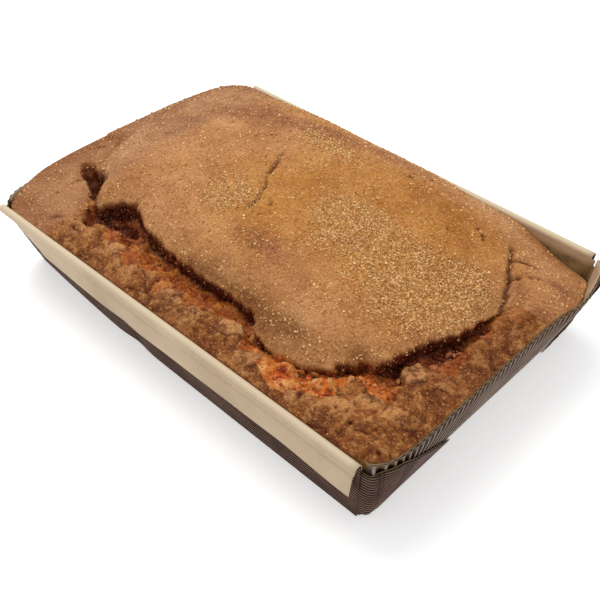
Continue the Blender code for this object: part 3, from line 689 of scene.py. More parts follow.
def make_tray(liner_paper, flute_paper):
    liners, flutes = Pile(), Pile()
    for side in (-1, 1):
        long_side(liners, flutes, side)
        for end in (-1, 1):
            flap(liners, flutes, side, end)
    for end in (-1, 1):
        end_wall(liners, flutes, end)
    base(liners, flutes)
    liners.make("tray_liner", liner_paper, "paper", "tray")
    flutes.make("tray_flutes", flute_paper, "paper", "tray")


# Shape of the cake, as in the solid.

def margin_height(x, y):
    """Height of the cake's edge against the paper, carried on under the whole top."""
    left = LEFT_MARGIN_RISE * smooth((LEFT_MARGIN_FROM_X - x) / LEFT_MARGIN_RUN)
    left *= 1 - np.clip(np.abs(y) / WALL_Y, 0, 1) ** 3
    height = MARGIN + left + RIGHT_MARGIN_RISE * smooth((x - RIGHT_MARGIN_FROM_X) / RIGHT_MARGIN_RUN)
    for corner, run, drop in LOW_CORNERS:
        height = height - drop * (1 - smooth(np.hypot((x - corner[0]) / run[0], (y - corner[1]) / run[1])))
    return height


def nearest_on(line, x, y):
    """Distance to a line of points with more numbers at each, and the line's x, y and other numbers
    at the nearest place."""
    line = np.array(line, float)
    best = np.full(x.shape, np.inf)
    nearest = np.zeros((*x.shape, line.shape[1]))
    for start, stop in zip(line[:-1], line[1:]):
        run = stop - start
        share = ((x - start[0]) * run[0] + (y - start[1]) * run[1]) / (run[0] ** 2 + run[1] ** 2)
        place = start + np.clip(share, 0, 1)[..., None] * run
        distance = np.hypot(x - place[..., 0], y - place[..., 1])
        nearer = distance < best
        best = np.where(nearer, distance, best)
        nearest = np.where(nearer[..., None], place, nearest)
    return best, nearest


def lid_distance(x, y):
    """Distance from the lid's edge, positive on the lid, and the edge's numbers at the nearest place."""
    best, nearest = nearest_on(LID_EDGE, x, y)
    ring = [point[:2] for point in LID_EDGE]
    ring += [(OUTSIDE, 32), (OUTSIDE, OUTSIDE), (-OUTSIDE, OUTSIDE), (-OUTSIDE, -10)]
    inside = np.zeros(x.shape, bool)
    for (ax, ay), (bx, by) in zip(ring, ring[1:] + ring[:1]):
        crosses = (ay > y) != (by > y)
        crossing_x = ax + (y - ay) * (bx - ax) / (by - ay if by != ay else 1e-9)
        inside ^= crosses & (x < crossing_x)
    return np.where(inside, best, -best), nearest


def dome_height(x, y):
    from_middle = x - DOME_MIDDLE_X
    along = np.abs(from_middle) / np.where(from_middle < 0, DOME_LEFT_RUN, DOME_RIGHT_RUN)
    far_run = DOME_FAR_RUN - FAR_SHOULDER_SET_IN * smooth((x - FAR_SHOULDER_FROM_X) / FAR_SHOULDER_RUN)
    across = np.abs(y) / np.where(y < 0, DOME_NEAR_RUN, far_run)
    dome = DOME_RISE * (1 - along ** DOME_POWERS[0]).clip(0) * (1 - across ** DOME_POWERS[1]).clip(0)
    dome *= 1 - SUNK_SHARE * bell(x, y, SUNK_CORNER, SUNK_CORNER_RUN)
    return dome + SWELL_RISE * bell(x, y, SWELL, SWELL_RUN)


def lid_height(x, y, lip, on_lid):
    """Height of the raised lid above the edge of the cake."""
    lip_here = MEAN_LIP + (lip - MEAN_LIP) * np.exp(-on_lid / LIP_RUN)
    rise = lip_here + LID_RISE * (1 - np.exp(-on_lid / LID_RISE))
    dome = dome_height(x, y)
    lower = np.minimum(dome, rise)
    blend = SOFTNESS * np.log1p(np.exp(-np.abs(dome - rise) / SOFTNESS))
    lid = lower - blend * (1 - np.exp(-lower / 2))
    even = smooth(on_lid / LID_RIPPLE_FADE) * smooth(lower / 4)
    lid += LID_RIPPLE[0] * ripple(x, y, LID_RIPPLE[1], 3) * even
    lid -= LID_ROUNDING * lip * np.exp(-on_lid / LID_ROUNDING_RUN)
    return lid - sum(depth * bell(x, y, (at_x, at_y), (run, run)) for at_x, at_y, run, depth in DIMPLES)


def cake_outline(share_x, share_y, height):
    """Where the cake meets the paper, at shares from -1 to 1 along and across."""
    side = np.where(share_y > 0, 1, -1)
    half = wall_half(side, share_x * BASE_HALF_X, np.minimum(height, WALL_TOP))
    y = share_y * (half - CLEARANCE)
    level = np.minimum(height, END_RIM_HEIGHT)
    reach = np.where(share_x > 0, end_x(1, y, level), end_x(-1, y, level))
    x = share_x * (reach - CLEARANCE)
    corner = CORNER_ROUNDING * np.abs(share_x * share_y) ** 40
    return x - share_x * corner, y - share_y * corner


# Fine relief of the cake.

def torn_distance(x, y):
    """Distance from the ragged edge of the lid, then from its plain line, and that line's numbers."""
    raw, edge = lid_distance(x, y)
    return raw + relief(x, y, RAGGED, FINELY_RAGGED) * smooth(edge[..., 2] / 2), raw, edge


def round_holes(x, y):
    """1 in the small round holes, and 0 elsewhere."""
    moved_x, moved_y = shifted(x, y, noise, 0.5, 1.8, 53)
    hole = np.zeros(x.shape)
    for middle_x, middle_y, half_width in PORES:
        away = np.hypot(moved_x - middle_x, moved_y - middle_y)
        hole = np.maximum(hole, smooth((half_width - away) / PORE_EDGE))
    return hole


def cut_cracks(x, y, top, open_crumb, distance):
    """The top with its cracks and pockets cut in, the open crumb with the pockets, and the painted shade
    that a crack puts on each point."""
    crack_shade = np.zeros(x.shape)
    moved_x, moved_y = shifted(x, y, fractal, 0.9, 4.0, 81)
    moved_x += 0.5 * noise(x, y, 1.7, 88)
    moved_y += 0.5 * noise(x, y, 1.7, 89)
    broken_off = smooth(1.2 + 1.2 * noise(x, y, 2.6, 87))
    fainter = 1 - 0.2 * patches(x, y, GOLDEN[:1])
    for line, half_width in CRACKS + FINE_CRACKS:
        away, nearest = nearest_on(line, moved_x, moved_y)
        depth = nearest[..., 2]
        if half_width < NARROW_CRACK:
            cut = hump(away, CRACK_CUT_RUN * half_width) * broken_off
        else:
            cut = smooth((1.5 * half_width - away) / POCKET_EDGE)
        top = top - depth * cut
        if half_width < POCKET_FROM:
            shade = cut * smooth(depth / 1.5) * fainter
        else:
            opened = smooth(3.0 * cut * smooth(depth / 2) - 1.2)
            open_crumb = np.maximum(open_crumb, opened * (distance < 0.3))
            shade = 0.95 * smooth(depth * cut - DARK_DEPTH)
        crack_shade = np.maximum(crack_shade, shade)
    return top, open_crumb, crack_shade


def cake_surface(x, y):
    """Height of the top with its fine relief, how far each point is pushed outwards past the lid's
    edge, and the marks that the crust's colours follow."""
    distance, _, edge = torn_distance(x, y)
    lip, reach = edge[..., 2], edge[..., 3]
    on_lid, before_lid = np.maximum(distance, 0), np.maximum(-distance, 0)
    from_wall = np.minimum(WALL_Y - np.abs(y), WALL_X - np.abs(x)).clip(0)
    plain_end = smooth((PLAIN_END_X - x) / PLAIN_END_RUN)
    torn = smooth(lip / TORN_LIP) * (1 - 0.85 * plain_end)
    bright = patches(x, y, BRIGHT)
    shelf = SHELF_RISE * smooth(from_wall / SHELF_RUN)
    shelf += SHELF_RIPPLE[0] * ripple(x, y, SHELF_RIPPLE[1], 5) * smooth(from_wall / SHELF_RIPPLE_FADE)
    gully = CRACK_DEPTH * torn * hump(before_lid, CRACK_RUN, CRACK_FLOOR) * (1 - 0.75 * bright)
    gully += CRUMB_DROP * torn * smooth((reach - before_lid) / CRUMB_EDGE)

    # The shelf's crust is broken into plates. The crumb lies open where whole plates are missing.
    first, second, chance, plate_x, plate_y = cells(*shifted(x, y, fractal, 1.4, 7.0, 90), PLATE, 92)
    plate_distance, plate_edge = lid_distance(plate_x, plate_y)
    spread = plate_edge[..., 3] + PLATES_MISSING + PLATE_SPREAD * (chance - 0.5)
    open_crumb = smooth((spread + plate_distance) / 0.5 + 0.5) * smooth(plate_edge[..., 2] / 1.5)
    left_standing = (chance > LONE_PLATE) & (-plate_distance > 0.4 * spread)
    open_crumb = np.where(left_standing, 0.0, open_crumb) * (1 - plain_end)
    open_crumb = np.maximum(open_crumb, smooth((ALWAYS_OPEN - before_lid) / 0.6) * torn)
    open_crumb = np.where(distance > 0.2, 0.0, open_crumb)

    # Gaps between the plates, wider near the crumb, and finer ones within each plate.
    near_crumb = smooth((reach + 9 - before_lid) / 6) * torn
    on_shelf = smooth(before_lid / 2.5) * smooth(from_wall / 1.5)
    border = second - first
    gap = (1 - smooth(border / 0.13)) * smooth(0.75 * near_crumb + 1.9 * noise(x, y, 7.0, 94) - 0.25)
    first, second, _, _, _ = cells(*shifted(x, y, noise, 0.9, 3.0, 95), FINE_PLATE, 97)
    fine_gap = (1 - smooth((second - first) / 0.2)) * smooth(1.9 * noise(x, y, 5.0, 98) - 0.2)
    fissure = np.maximum(gap, 0.7 * fine_gap) * on_shelf * (1 - plain_end)
    lift = (0.1 + 0.8 * near_crumb) * (chance - 0.5) * smooth(border / 0.1)

    small_knobs = fractal(x, y, SMALL_KNOB, 46)
    knobs = relief(x, y, KNOBS) + SMALL_KNOB_HEIGHT * small_knobs
    on_shelf = on_shelf * (1 - 0.9 * plain_end)
    grit = relief(x, y, GRIT)
    crust_relief = relief(x, y, CRUST_BUMPS) + CRUST_GRAIN * noise(x, y, 1.0, 52)
    hole = round_holes(x, y)

    # Lumps of torn crumb, heaped up in the bright part just before a thin gap under the lid.
    lumps_here, lump_chance = lumpy(x, y, CRUMB_LUMP, 61)
    torn_bits = np.abs(fractal(x, y, TORN_BIT, 71, 4))
    crumb = LUMP_HEIGHT * (lumps_here + torn_bits) + relief(x, y, CRUMB_SWELLS) - CRUMB_SUNK
    heap = (HEAP_HEIGHT + BRIGHT_HEAP_HEIGHT * bright) * hump(before_lid, HEAP_RUN, HEAP_BEFORE_LID)
    crumb += heap - GAP_DEPTH * bright * hump(before_lid, GAP_RUN)
    rough_shelf = shelf + (knobs + lift - FISSURE_DEPTH * fissure) * on_shelf + grit - PORE_DEPTH * hole
    sunk = shelf - gully + crumb * smooth(before_lid / 0.8) + grit - 0.5 * open_crumb
    low = rough_shelf - gully * (1 - open_crumb) * 0.5
    low = low + (sunk - low) * open_crumb
    band = FACE_BAND + PLAIN_END_BAND * plain_end * smooth(lip / 0.5)
    on_top = smooth((distance + band) / (2 * band))
    lid = lid_height(x, y, lip, on_lid) + crust_relief - PORE_DEPTH * hole
    top = margin_height(x, y) + low + (lid - low) * on_top
    top, open_crumb, crack_shade = cut_cracks(x, y, top, open_crumb, distance)

    # The lid's edge hangs over unevenly, and the face below it is tucked in.
    push = (OVERHANG + relief(x, y, OVERHANG_BUMPS)) * hump(distance, 0.8, 0.4) * torn
    push += relief(x - y, 1.3 * top, BROKEN_FACE) * hump(distance, 1.1) * torn
    push -= FACE_TUCK * hump(distance, 0.8, -0.9) * torn

    # Marks for the colours.
    # Painted shade on the face under the lid's overhang, over the moist crumb's own dark red.
    face_reach = FACE_REACH - BRIGHT_FACE_LESS * bright + relief(x, y, FACE_BUMPS)
    face = smooth((face_reach - before_lid) / 1.4) * (1 - smooth((on_top - 0.7) / 0.25)) * torn
    # Painted shade on the lid along its edge, with more in the shaded patches.
    edge_shade = np.exp(-on_lid / (SHADED_RUN + relief(x, y, SHADED_RUN_BUMPS))) * torn * smooth(distance)
    edge_shade *= (1 - 0.85 * smooth((x - 52) / 14)) * (0.3 + 0.7 * smooth((x + 30) / 24))
    shaded = patches(x, y, SHADED)
    shaded_unevenly = shaded + relief(x, y, SHADED_BUMPS) * (edge_shade + shaded)
    closed = 1 - smooth(lip / TORN_LIP)
    over_closed_edge = smooth((distance + 6 * closed) / (1 + 12 * closed))
    beside_hem = 1 - smooth((WALL_Y + y - 3) / 28)
    sugared = smooth(patches(x, y, SUGARED) + relief(x, y, SUGARED_BUMPS) - 0.1)
    marks = {
        "crumb": open_crumb,
        "lump": 0.65 * lump_chance + 0.35 * np.clip(lumps_here, 0, 1),
        # Creases between the torn bits of crumb, for painted shade.
        "gaps": (1 - smooth(torn_bits / 0.12)) * open_crumb,
        "bright": bright,
        "deep": smooth(patches(x, y, DEEP) * 1.3),
        "hollow": np.clip(0.5 - 1.4 * small_knobs, 0, 1) * on_shelf,
        # The fissure mark is painted shade in the gaps between plates, in the round holes and in the cracks.
        "fissure": np.clip(fissure * (1 - open_crumb) + hole + crack_shade, 0, 1),
        "lid": np.maximum(over_closed_edge, 0.9 * plain_end * (1 - open_crumb)),
        "face": face,
        "plate": chance,
        "plain_end": plain_end,
        "low": np.maximum(1 - smooth((from_wall - 3) / 14), plain_end * beside_hem),
        "near_crumb": near_crumb * (1 - smooth(distance / 0.5)),
        "browned": smooth(patches(x, y, BROWNED) + relief(x, y, BROWNED_BUMPS)),
        "golden": smooth(patches(x, y, GOLDEN) + relief(x, y, GOLDEN_BUMPS)),
        "sugared": sugared * smooth(distance / 2.0),
        "shaded": np.clip(0.95 * edge_shade + shaded_unevenly, 0, 1),
    }
    return top, push, marks


def spaced(count):
    """Shares from -1 to 1, closer together at the near side."""
    fine = np.linspace(-1, 1, 4001)
    weight = 1 + DENSER * smooth((DENSE_TO - fine) / 0.1)
    run = np.concatenate([[0], np.cumsum((weight[1:] + weight[:-1]) / 2)])
    return np.interp(np.linspace(0, run[-1], count), run, fine)


def make_cake(surface):
    """The cake, closed down to its base. Its grid of points is drawn towards the lid's edge."""
    columns, rows = CAKE_GRID
    share_x, share_y = np.meshgrid(np.linspace(-1, 1, columns), spaced(rows))
    height = np.full((rows, columns), MARGIN)
    for _ in range(3):
        x, y = cake_outline(share_x, share_y, height)
        height = margin_height(x, y)
    inner = np.zeros(x.shape)
    inner[1:-1, 1:-1] = 1
    free = inner * smooth(np.minimum(WALL_Y - np.abs(y), WALL_X - np.abs(x)) / FREE_FROM_WALL)
    wanted, _, _ = torn_distance(x, y)
    wanted = wanted * np.clip(np.abs(wanted) / DRAWN_RUN, 0, 1) ** DRAWN_POWER
    for turn in range(DRAWN_TURNS + 1):
        distance, raw, edge = torn_distance(x, y)
        away = np.where(np.abs(raw) < 1e-4, 1e-4, raw)
        toward_x, toward_y = (x - edge[..., 0]) / away, (y - edge[..., 1]) / away
        if turn < DRAWN_TURNS:
            step = 0.7 * (wanted - distance) * free * smooth(edge[..., 2] / 2)
            x, y = x + step * toward_x, y + step * toward_y
    top, push, marks = cake_surface(x, y)
    push = free * push
    grid = together(x - push * toward_x, y - push * toward_y, np.where(inner > 0, top, height))

    pile = Pile()
    pile.add(grid, grid_faces(rows, columns), **marks)
    around = grid_rim(rows, columns)
    around_x, around_y, margin = share_x.ravel()[around], share_y.ravel()[around], height.ravel()[around]
    rings, points = [around], []
    for share in SIDE_SHARES:
        level = CAKE_BOTTOM + share * (margin - CAKE_BOTTOM)
        rings.append(rows * columns + len(points) * len(around) + np.arange(len(around)))
        points.append(together(*cake_outline(around_x, around_y, level), level))
    for upper, lower in zip(rings, rings[1:]):
        pile.faces.append(together(lower, np.roll(lower, -1), np.roll(upper, -1), upper))
    centre = rings[-1][-1] + 1
    pile.faces.append(together(np.roll(rings[-1], -1), rings[-1], centre))
    pile.add(np.concatenate([*points, [[0.0, 0.0, CAKE_BOTTOM]]]), low=1.0)
    pile.make("cake_sponge", surface, "crust", "cake")
    return grid, marks


# Grains and crumbs.

def on_surface(grid, rng, count, density):
    """Random places on the cake's top, with more of them where the density is high."""
    corner, right = grid[1:-2, 1:-2], grid[1:-2, 2:-1]
    up, both = grid[2:-1, 1:-2], grid[2:-1, 2:-1]
    normal = np.cross(right - corner, up - corner)
    area = np.linalg.norm(normal, axis=-1)
    weight = (density[1:-2, 1:-2].clip(0) * area).ravel()
    chosen = rng.choice(len(weight), count, p=weight / weight.sum())
    i, j = np.unravel_index(chosen, area.shape)
    a, b = rng.uniform(0, 1, (2, count, 1))
    place = (corner[i, j] * (1 - a) + right[i, j] * a) * (1 - b) + (up[i, j] * (1 - a) + both[i, j] * a) * b
    return place, normal[i, j] / np.maximum(area[i, j][:, None], 1e-9), (i + 1, j + 1)


def scatter(name, surface, grid, rng, kind, form, density, smoothed=False, **extra):
    """Many small solids on the cake's top in one mesh. The kind says how many, from what size to what
    size, how far small sizes are favoured, and how high they stand. The form holds the corners and
    triangles of one."""
    count, smallest, largest, power, proud = kind
    place, normal, at_grid = on_surface(grid, rng, count, density)
    size = rng.uniform(smallest, largest, count) ** power
    corners, tris = form
    each = len(corners)
    turn = rng.normal(size=(count, 4))
    turn /= np.linalg.norm(turn, axis=1, keepdims=True)
    stretch = rng.uniform(0.6, 1.4, (count, 1, 3))
    swirl = rng.normal(size=(count, 3, 3)) * 3.0
    phase = rng.uniform(0, 2 * math.pi, (count, 1, 3))
    uneven = 1 + 0.2 * np.sin(np.einsum("ek,nkj->nej", corners * 2, swirl) + phase).sum(-1, keepdims=True)
    points = corners[None] * stretch * uneven * size[:, None, None]
    swung = 2 * np.cross(turn[:, None, 1:], points)
    points += turn[:, None, :1] * swung + np.cross(turn[:, None, 1:], swung)
    points += (place + normal * (size * proud)[:, None])[:, None, :]
    faces = tris[None] + (np.arange(count) * each)[:, None, None]
    spread = {key: np.repeat(value[at_grid], each) for key, value in extra.items()}
    pile = Pile()
    pile.add(points, faces, tone=np.repeat(rng.uniform(0, 1, count), each), **spread)
    pile.make(name, surface, "crust", shade_smooth=smoothed)


def cube_form():
    corners = np.array([[x, y, z] for x in (-1, 1) for y in (-1, 1) for z in (-1, 1)], float) / 2
    sides = [(0, 1, 3, 2), (4, 6, 7, 5), (0, 4, 5, 1), (2, 3, 7, 6), (0, 2, 6, 4), (1, 5, 7, 3)]
    tris = [(a, b, c) for a, b, c, _ in sides] + [(a, c, d) for a, _, c, d in sides]
    return corners, np.array(tris)


def ball_form(rounds=0):
    """A rounded lump with twelve corners, or more after each round of splitting."""
    g = (1 + math.sqrt(5)) / 2
    corners = []
    for s in (-1, 1):
        for t in (-1, 1):
            corners += [(0, s, t * g), (s, t * g, 0), (t * g, 0, s)]
    corners = [np.array(corner) / math.hypot(1, g) for corner in corners]
    tris = []
    for a, b, c in combinations(range(12), 3):
        trio = np.array([corners[a], corners[b], corners[c]])
        spans = np.linalg.norm(trio - np.roll(trio, 1, axis=0), axis=1)
        if np.allclose(spans, 2.0 / math.hypot(1, g)):
            outside = np.cross(trio[1] - trio[0], trio[2] - trio[0]) @ trio.mean(0) > 0
            tris.append((a, b, c) if outside else (a, c, b))
    for _ in range(rounds):
        middles, split = {}, []
        for a, b, c in tris:
            ab, bc, ca = (
                middles.setdefault(frozenset(pair), len(corners) + len(middles))
                for pair in ((a, b), (b, c), (c, a))
            )
            split += [(a, ab, ca), (b, bc, ab), (c, ca, bc), (ab, bc, ca)]
        for a, b in middles:
            middle = corners[a] + corners[b]
            corners.append(middle / np.linalg.norm(middle))
        tris = split
    return np.array(corners) / 2, np.array(tris)


# Materials.

def colour(red, green, blue):
    """Linear colour from 0 to 255 screen values."""
    parts = [value / 255 for value in (red, green, blue)]
    linear = [v / 12.92 if v <= 0.04045 else ((v + 0.055) / 1.055) ** 2.4 for v in parts]
    return (*linear, 1.0)


class Surface:
    """A Principled material and the nodes that feed it, with lengths in millimetres. The name of a mark
    may stand for a number, and screen values for a colour."""

    def __init__(self, name):
        self.made = bpy.data.materials.new(name)
        self.made.use_nodes = True
        place = self.node("ShaderNodeTexCoord", "Object")
        self.place = self.node("ShaderNodeVectorMath", 0, {0: place, "Scale": 1 / MM}, operation="SCALE")

    def node(self, kind, output, inputs=None, **settings):
        """One output of a new node."""
        made = self.made.node_tree.nodes.new(kind)
        for key, value in settings.items():
            setattr(made, key, value)
        for key, value in (inputs or {}).items():
            self.put(made.inputs[key], value)
        return made.outputs[output]

    def put(self, socket, value):
        if isinstance(value, str):
            value = self.node("ShaderNodeAttribute", "Fac", attribute_name=value)
        if isinstance(value, bpy.types.NodeSocket):
            self.made.node_tree.links.new(value, socket)
        elif socket.type == "RGBA" and len(value) == 3:
            socket.default_value = colour(*value)
        else:
            socket.default_value = value

    def noise(self, size, detail=2.0, rough=0.5, place=None):
        inputs = {"Vector": place or self.place, "Scale": 1 / size, "Detail": detail, "Roughness": rough}
        return self.node("ShaderNodeTexNoise", "Fac", inputs)

    def math(self, operation, first, second):
        return self.node("ShaderNodeMath", 0, {0: first, 1: second}, operation=operation)

    def blend(self, first, second, share):
        """Two numbers added up, the first with this share and the second with the rest."""
        rest = self.math("MULTIPLY", second, 1 - share)
        return self.math("ADD", self.math("MULTIPLY", first, share), rest)

    def range(self, value, low, high, to_low=0.0, to_high=1.0):
        inputs = {"Value": value, "From Min": low, "From Max": high, "To Min": to_low, "To Max": to_high}
        return self.node("ShaderNodeMapRange", "Result", inputs, interpolation_type="SMOOTHSTEP")

    def ramp(self, value, stops, *tints):
        """Colours by value, with one tint at each stop."""
        made = self.node("ShaderNodeValToRGB", "Color", {"Fac": value})
        elements = made.node.color_ramp.elements
        while len(elements) < len(stops):
            elements.new(0.5)
        for element, stop, tint in zip(elements, stops, tints):
            element.position = stop
            element.color = colour(*tint)
        return made

    def mix(self, share, under, over):
        """One colour over another. Sockets 6, 7 and 2 are the colours."""
        return self.node("ShaderNodeMix", 2, {0: share, 6: under, 7: over}, data_type="RGBA")

    def layered(self, under, *layers):
        """A colour with tints laid over it one by one, each as strong as its shares multiplied."""
        for tint, share, *more in layers:
            for other in more:
                share = self.math("MULTIPLY", share, other)
            under = self.mix(share, under, tint)
        return under

    def bump(self, height, distance, strength, before=None):
        inputs = {"Height": height, "Distance": distance * MM, "Strength": strength}
        if before is not None:
            inputs["Normal"] = before
        return self.node("ShaderNodeBump", "Normal", inputs)

    def finish(self, **inputs):
        shader = self.made.node_tree.nodes["Principled BSDF"]
        for name, value in inputs.items():
            self.put(shader.inputs[name.replace("_", " ")], value)
        return self.made


def crust_surface():
    s = Surface("baked_crust")
    middle = s.noise(5.5, 4.0, 0.6)
    fine = s.noise(0.95, 2.0, 0.6)
    mottled = s.noise(1.3, 2.0, 0.6)
    tones = s.blend(s.noise(30, 2.0, 0.5), middle, 0.6)
    lid = s.layered(
        s.ramp(tones, TONE_STOPS, (170, 112, 67), (190, 131, 82), (206, 150, 101)),
        (s.ramp(tones, TONE_STOPS, (148, 98, 64), (174, 123, 87), (194, 144, 107)), "plain_end", 0.9),
        (s.ramp(tones, TONE_STOPS, (166, 102, 40), (188, 124, 56), (202, 142, 74)), "golden"),
        (s.ramp(middle, (0.36, 0.64), (122, 64, 38), (158, 96, 62)), "browned", 0.7),
        ((164, 102, 40), "sugared", 0.35),
        ((216, 160, 86), "sugared", s.range(mottled, 0.52, 0.62, 0.0, 0.6)),
        ((136, 78, 26), "sugared", s.range(mottled, 0.46, 0.36, 0.0, 0.5)),
        ((132, 76, 42), "low", s.range("plain_end", 0, 1, 0.35, 0.65)),
        # Painted shade along the lid's edge, with some browning.
        ((108, 58, 16), "shaded", 0.75),
    )
    shelf = s.layered(
        s.ramp(s.blend(tones, "plate", 0.7), SHELF_STOPS, (130, 70, 26), (162, 98, 44), (192, 132, 76)),
        ((198, 140, 94), "near_crumb", s.range("plate", 0.35, 0.8, 0.0, 0.55)),
        ((126, 68, 25), "low", 0.6),
        # Painted shade in the hollows between the knobs, and painted highlight on their tops.
        ((96, 44, 14), s.range("hollow", 0.45, 1.0, 0.0, 0.7)),
        ((216, 160, 100), s.range("hollow", 0.3, 0.0, 0.0, 0.3)),
    )
    both_fine = s.math("ADD", fine, s.math("MULTIPLY", s.noise(0.5, 1.0, 0.5), 0.5))
    crust = s.layered(
        s.mix("lid", shelf, lid),
        ((96, 50, 20), s.range(fine, 0.47, 0.32, 0.0, 0.55), s.range("plain_end", 0, 1, 1.0, 0.6)),
        ((228, 176, 112), s.range(both_fine, 0.80, 1.0, 0.0, 0.5)),
    )
    moist = s.blend("lump", s.noise(3.6, 5, 0.68), 0.2)
    orange = s.ramp(moist, CRUMB_STOPS, (134, 40, 8), (196, 90, 26), (214, 126, 50), (230, 170, 104))
    crumb = s.layered(
        s.ramp(moist, CRUMB_STOPS, (98, 36, 8), (150, 70, 20), (178, 98, 36), (202, 134, 66)),
        (orange, "bright"),
        # Painted shade in the creases between the torn bits of crumb.
        ((96, 26, 8), "gaps", 0.25),
        # Darker crumb in the cavities under the lid: its own dark red, partly painted shade.
        (s.ramp(moist, DEEP_STOPS, (48, 10, 6), (92, 26, 14), (156, 74, 44)), "deep", 0.9),
    )
    tint = s.layered(
        crust,
        (crumb, "crumb"),
        # Painted shade in cracks, holes and the gaps between plates.
        ((74, 24, 10), "fissure", 0.85),
        # Painted shade on the face under the lid, over the crumb's own dark red.
        (s.ramp(s.noise(2.4, 3), (0.4, 0.66), (36, 10, 5), (104, 42, 26)), "face", 0.94),
    )
    bumps = s.bump(s.noise(2.2, 3, 0.6), 0.9, s.range("lid", 0, 1, 0.9, 0.15))
    bumps = s.bump(fine, 0.35, 0.8, bumps)
    bumps = s.bump(s.noise(1.7, 3, 0.6), 0.8, s.range("crumb", 0, 1, 0.25, 0.7), bumps)
    cells_here = s.node("ShaderNodeTexVoronoi", "Distance", {"Vector": s.place, "Scale": 1 / 0.8})
    bumps = s.bump(cells_here, 0.15, 0.4, bumps)
    rough = s.range("crumb", 0, 1, 0.68, 0.42)
    return s.finish(Base_Color=tint, Roughness=rough, Normal=bumps, Specular_IOR_Level=0.16)


def liner_surface():
    s = Surface("cream_liner")
    along = s.node("ShaderNodeVectorMath", 0, {0: s.place, 1: (0.5, 1.0, 1.0)}, operation="MULTIPLY")
    fibres = s.noise(0.8, 3.0, 0.6, along)
    cream = s.layered(
        s.ramp(s.noise(26, 3.0, 0.5), PAPER_STOPS, (176, 150, 118), (194, 170, 138)),
        (s.ramp(fibres, PAPER_STOPS, (172, 146, 110), (240, 224, 192)), 0.06),
    )
    tint = s.layered(
        s.ramp(s.noise(6, 3.0), PAPER_STOPS, (102, 82, 50), (146, 122, 80)),
        (cream, "outer"),
        # Painted highlight along the top of the hem's roll.
        ((230, 210, 178), "rolled", 0.7),
    )
    return s.finish(Base_Color=tint, Roughness=0.6, Normal=s.bump(fibres, 0.05, 0.4))


def flute_surface():
    s = Surface("brown_flutes")
    fibres = s.noise(0.8, 3.0, 0.6)
    blotch = s.noise(14, 3.0, 0.55)
    # Painted highlight on the flutes' crests, greyer on the upright end walls.
    tip = s.ramp(blotch, FLUTE_STOPS, (118, 86, 70), (158, 128, 108))
    grey_crest_highlight = s.ramp(blotch, FLUTE_STOPS, (136, 114, 98), (176, 156, 138))
    tint = s.layered(
        # Painted shade: the flutes' valleys are near black.
        s.ramp(blotch, FLUTE_STOPS, (34, 18, 13), (52, 31, 24)),
        (s.mix("upright", tip, grey_crest_highlight), s.range("tip", 0.74, 0.98)),
        (s.ramp(blotch, FLUTE_STOPS, (60, 31, 23), (90, 53, 41)), "crushed_here"),
        (s.ramp(fibres, FLUTE_STOPS, (30, 14, 10), (116, 80, 64)), 0.15),
        ((150, 124, 100), "rim", 0.6),
    )
    bumps = s.bump(fibres, 0.05, 0.5)
    return s.finish(Base_Color=tint, Roughness=0.6, Normal=bumps, Specular_IOR_Level=0.2)


def sugar_surface():
    s = Surface("sugar_grains")
    return s.finish(Base_Color=s.ramp("tone", (0.0, 1.0), (176, 116, 54), (250, 206, 138)), Roughness=0.28)


def clod_surface():
    s = Surface("torn_crumb")
    tone = s.blend(s.noise(1.5, 3), "tone", 0.6)
    tint = s.layered(
        s.ramp(tone, CLOD_STOPS, (96, 38, 14), (150, 76, 32), (188, 120, 70)),
        (s.ramp(tone, CLOD_STOPS, (160, 54, 12), (206, 104, 36), (224, 154, 88)), "bright"),
        # Painted shade on clods lying at the face under the lid.
        (s.ramp(s.noise(1.2, 2), (0.4, 0.64), (44, 12, 6), (112, 50, 32)), "face"),
    )
    bumps = s.bump(s.noise(0.9, 3.0), 0.5, 0.8)
    return s.finish(Base_Color=tint, Roughness=0.5, Normal=bumps, Specular_IOR_Level=0.3)


def crumb_surface():
    s = Surface("loose_crumbs")
    tint = s.ramp("tone", (0.0, 1.0), (110, 52, 20), (190, 126, 74))
    return s.finish(Base_Color=tint, Roughness=0.75, Normal=s.bump(s.noise(0.6, 2.0), 0.12, 0.6))


# Floor, lights and camera.

def make_floor():
    surface = Surface("pale_floor").finish(
        Base_Color=(0.9, 0.9, 0.9, 1.0), Roughness=0.9, Emission_Color=(1.0, 1.0, 1.0, 1.0),
        Emission_Strength=FLOOR_GLOW,
    )
    r = FLOOR_REACH
    mesh = bpy.data.meshes.new("floor")
    mesh.from_pydata([(-r, -r, 0), (r, -r, 0), (r, r, 0), (-r, r, 0)], [], [(0, 1, 2, 3)])
    mesh.materials.append(surface)
    floor = bpy.data.objects.new("floor", mesh)
    bpy.context.scene.collection.objects.link(floor)


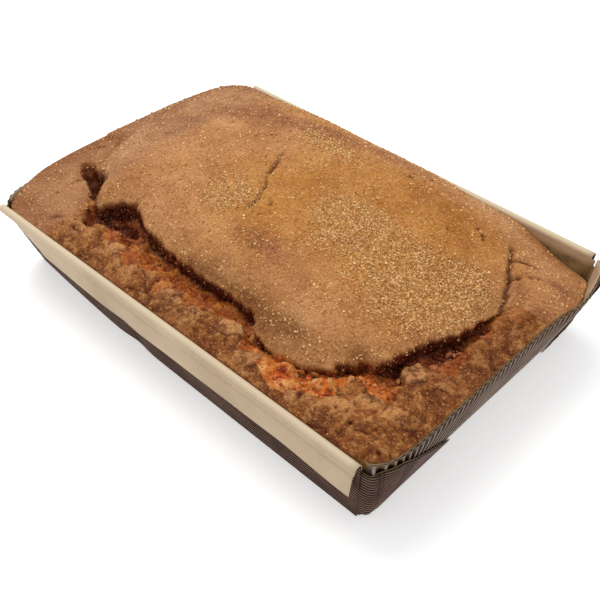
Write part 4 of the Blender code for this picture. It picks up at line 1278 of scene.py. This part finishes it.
def stand(name, data, azimuth, elevation, away, roll=0.0):
    """A camera or lamp facing the middle from these angles, away to the right, up and back in metres."""
    a, e, r = math.radians(azimuth), math.radians(elevation), math.radians(roll)
    back = np.array([math.sin(a) * math.cos(e), -math.cos(a) * math.cos(e), math.sin(e)])
    right = np.array([math.cos(a), math.sin(a), 0.0])
    axes = np.column_stack([right, np.cross(back, right), back])
    rolled = axes @ [[math.cos(r), -math.sin(r), 0], [math.sin(r), math.cos(r), 0], [0, 0, 1]]
    made = bpy.data.objects.new(name, data)
    made.matrix_world = Matrix.Translation(axes @ away) @ Matrix(rolled.tolist()).to_4x4()
    bpy.context.scene.collection.objects.link(made)
    return made


def make_camera():
    data = bpy.data.cameras.new("camera")
    data.sensor_width = 36.0
    data.lens = CAMERA_LENS
    data.clip_start = 0.01
    away = np.array(CAMERA_AWAY) * MM
    bpy.context.scene.camera = stand("camera", data, CAMERA_AZIMUTH, CAMERA_ELEVATION, away, CAMERA_ROLL)


def make_light():
    world = bpy.data.worlds.new("studio")
    world.use_nodes = True
    background = world.node_tree.nodes["Background"]
    background.inputs["Color"].default_value = (1.0, 1.0, 1.0, 1.0)
    background.inputs["Strength"].default_value = SKY_STRENGTH
    bpy.context.scene.world = world
    bpy.context.scene.view_settings.view_transform = "Standard"
    for name, power, size, azimuth, elevation, distance, tint in LAMPS:
        data = bpy.data.lights.new(name, "AREA")
        data.energy, data.shape, data.size, data.color = power, "DISK", size, tint
        stand(name, data, azimuth, elevation, (0.0, 0.0, distance))


def main():
    make_camera()
    grid, marks = make_cake(crust_surface())
    make_tray(liner_surface(), flute_surface())
    rng = np.random.default_rng(7)
    crumb, bright, face = marks["crumb"], marks["bright"], marks["face"]
    on_lid = marks["lid"] * (0.08 + marks["sugared"]) * (1 - 0.85 * marks["fissure"])
    torn = crumb * (0.4 + bright) * (1 - 0.8 * face) * (1 - 0.8 * marks["plain_end"])
    on_shelf = 0.3 * crumb + 0.10 * (1 - marks["lid"])
    scatter("sugar_grains", sugar_surface(), grid, rng, SUGAR, cube_form(), on_lid)
    scatter(
        "torn_clods", clod_surface(), grid, rng, CLODS, ball_form(2), torn, True, face=face, bright=bright,
    )
    scatter("loose_crumbs", crumb_surface(), grid, rng, LOOSE_CRUMBS, ball_form(), on_shelf)
    make_floor()
    make_light()


main()
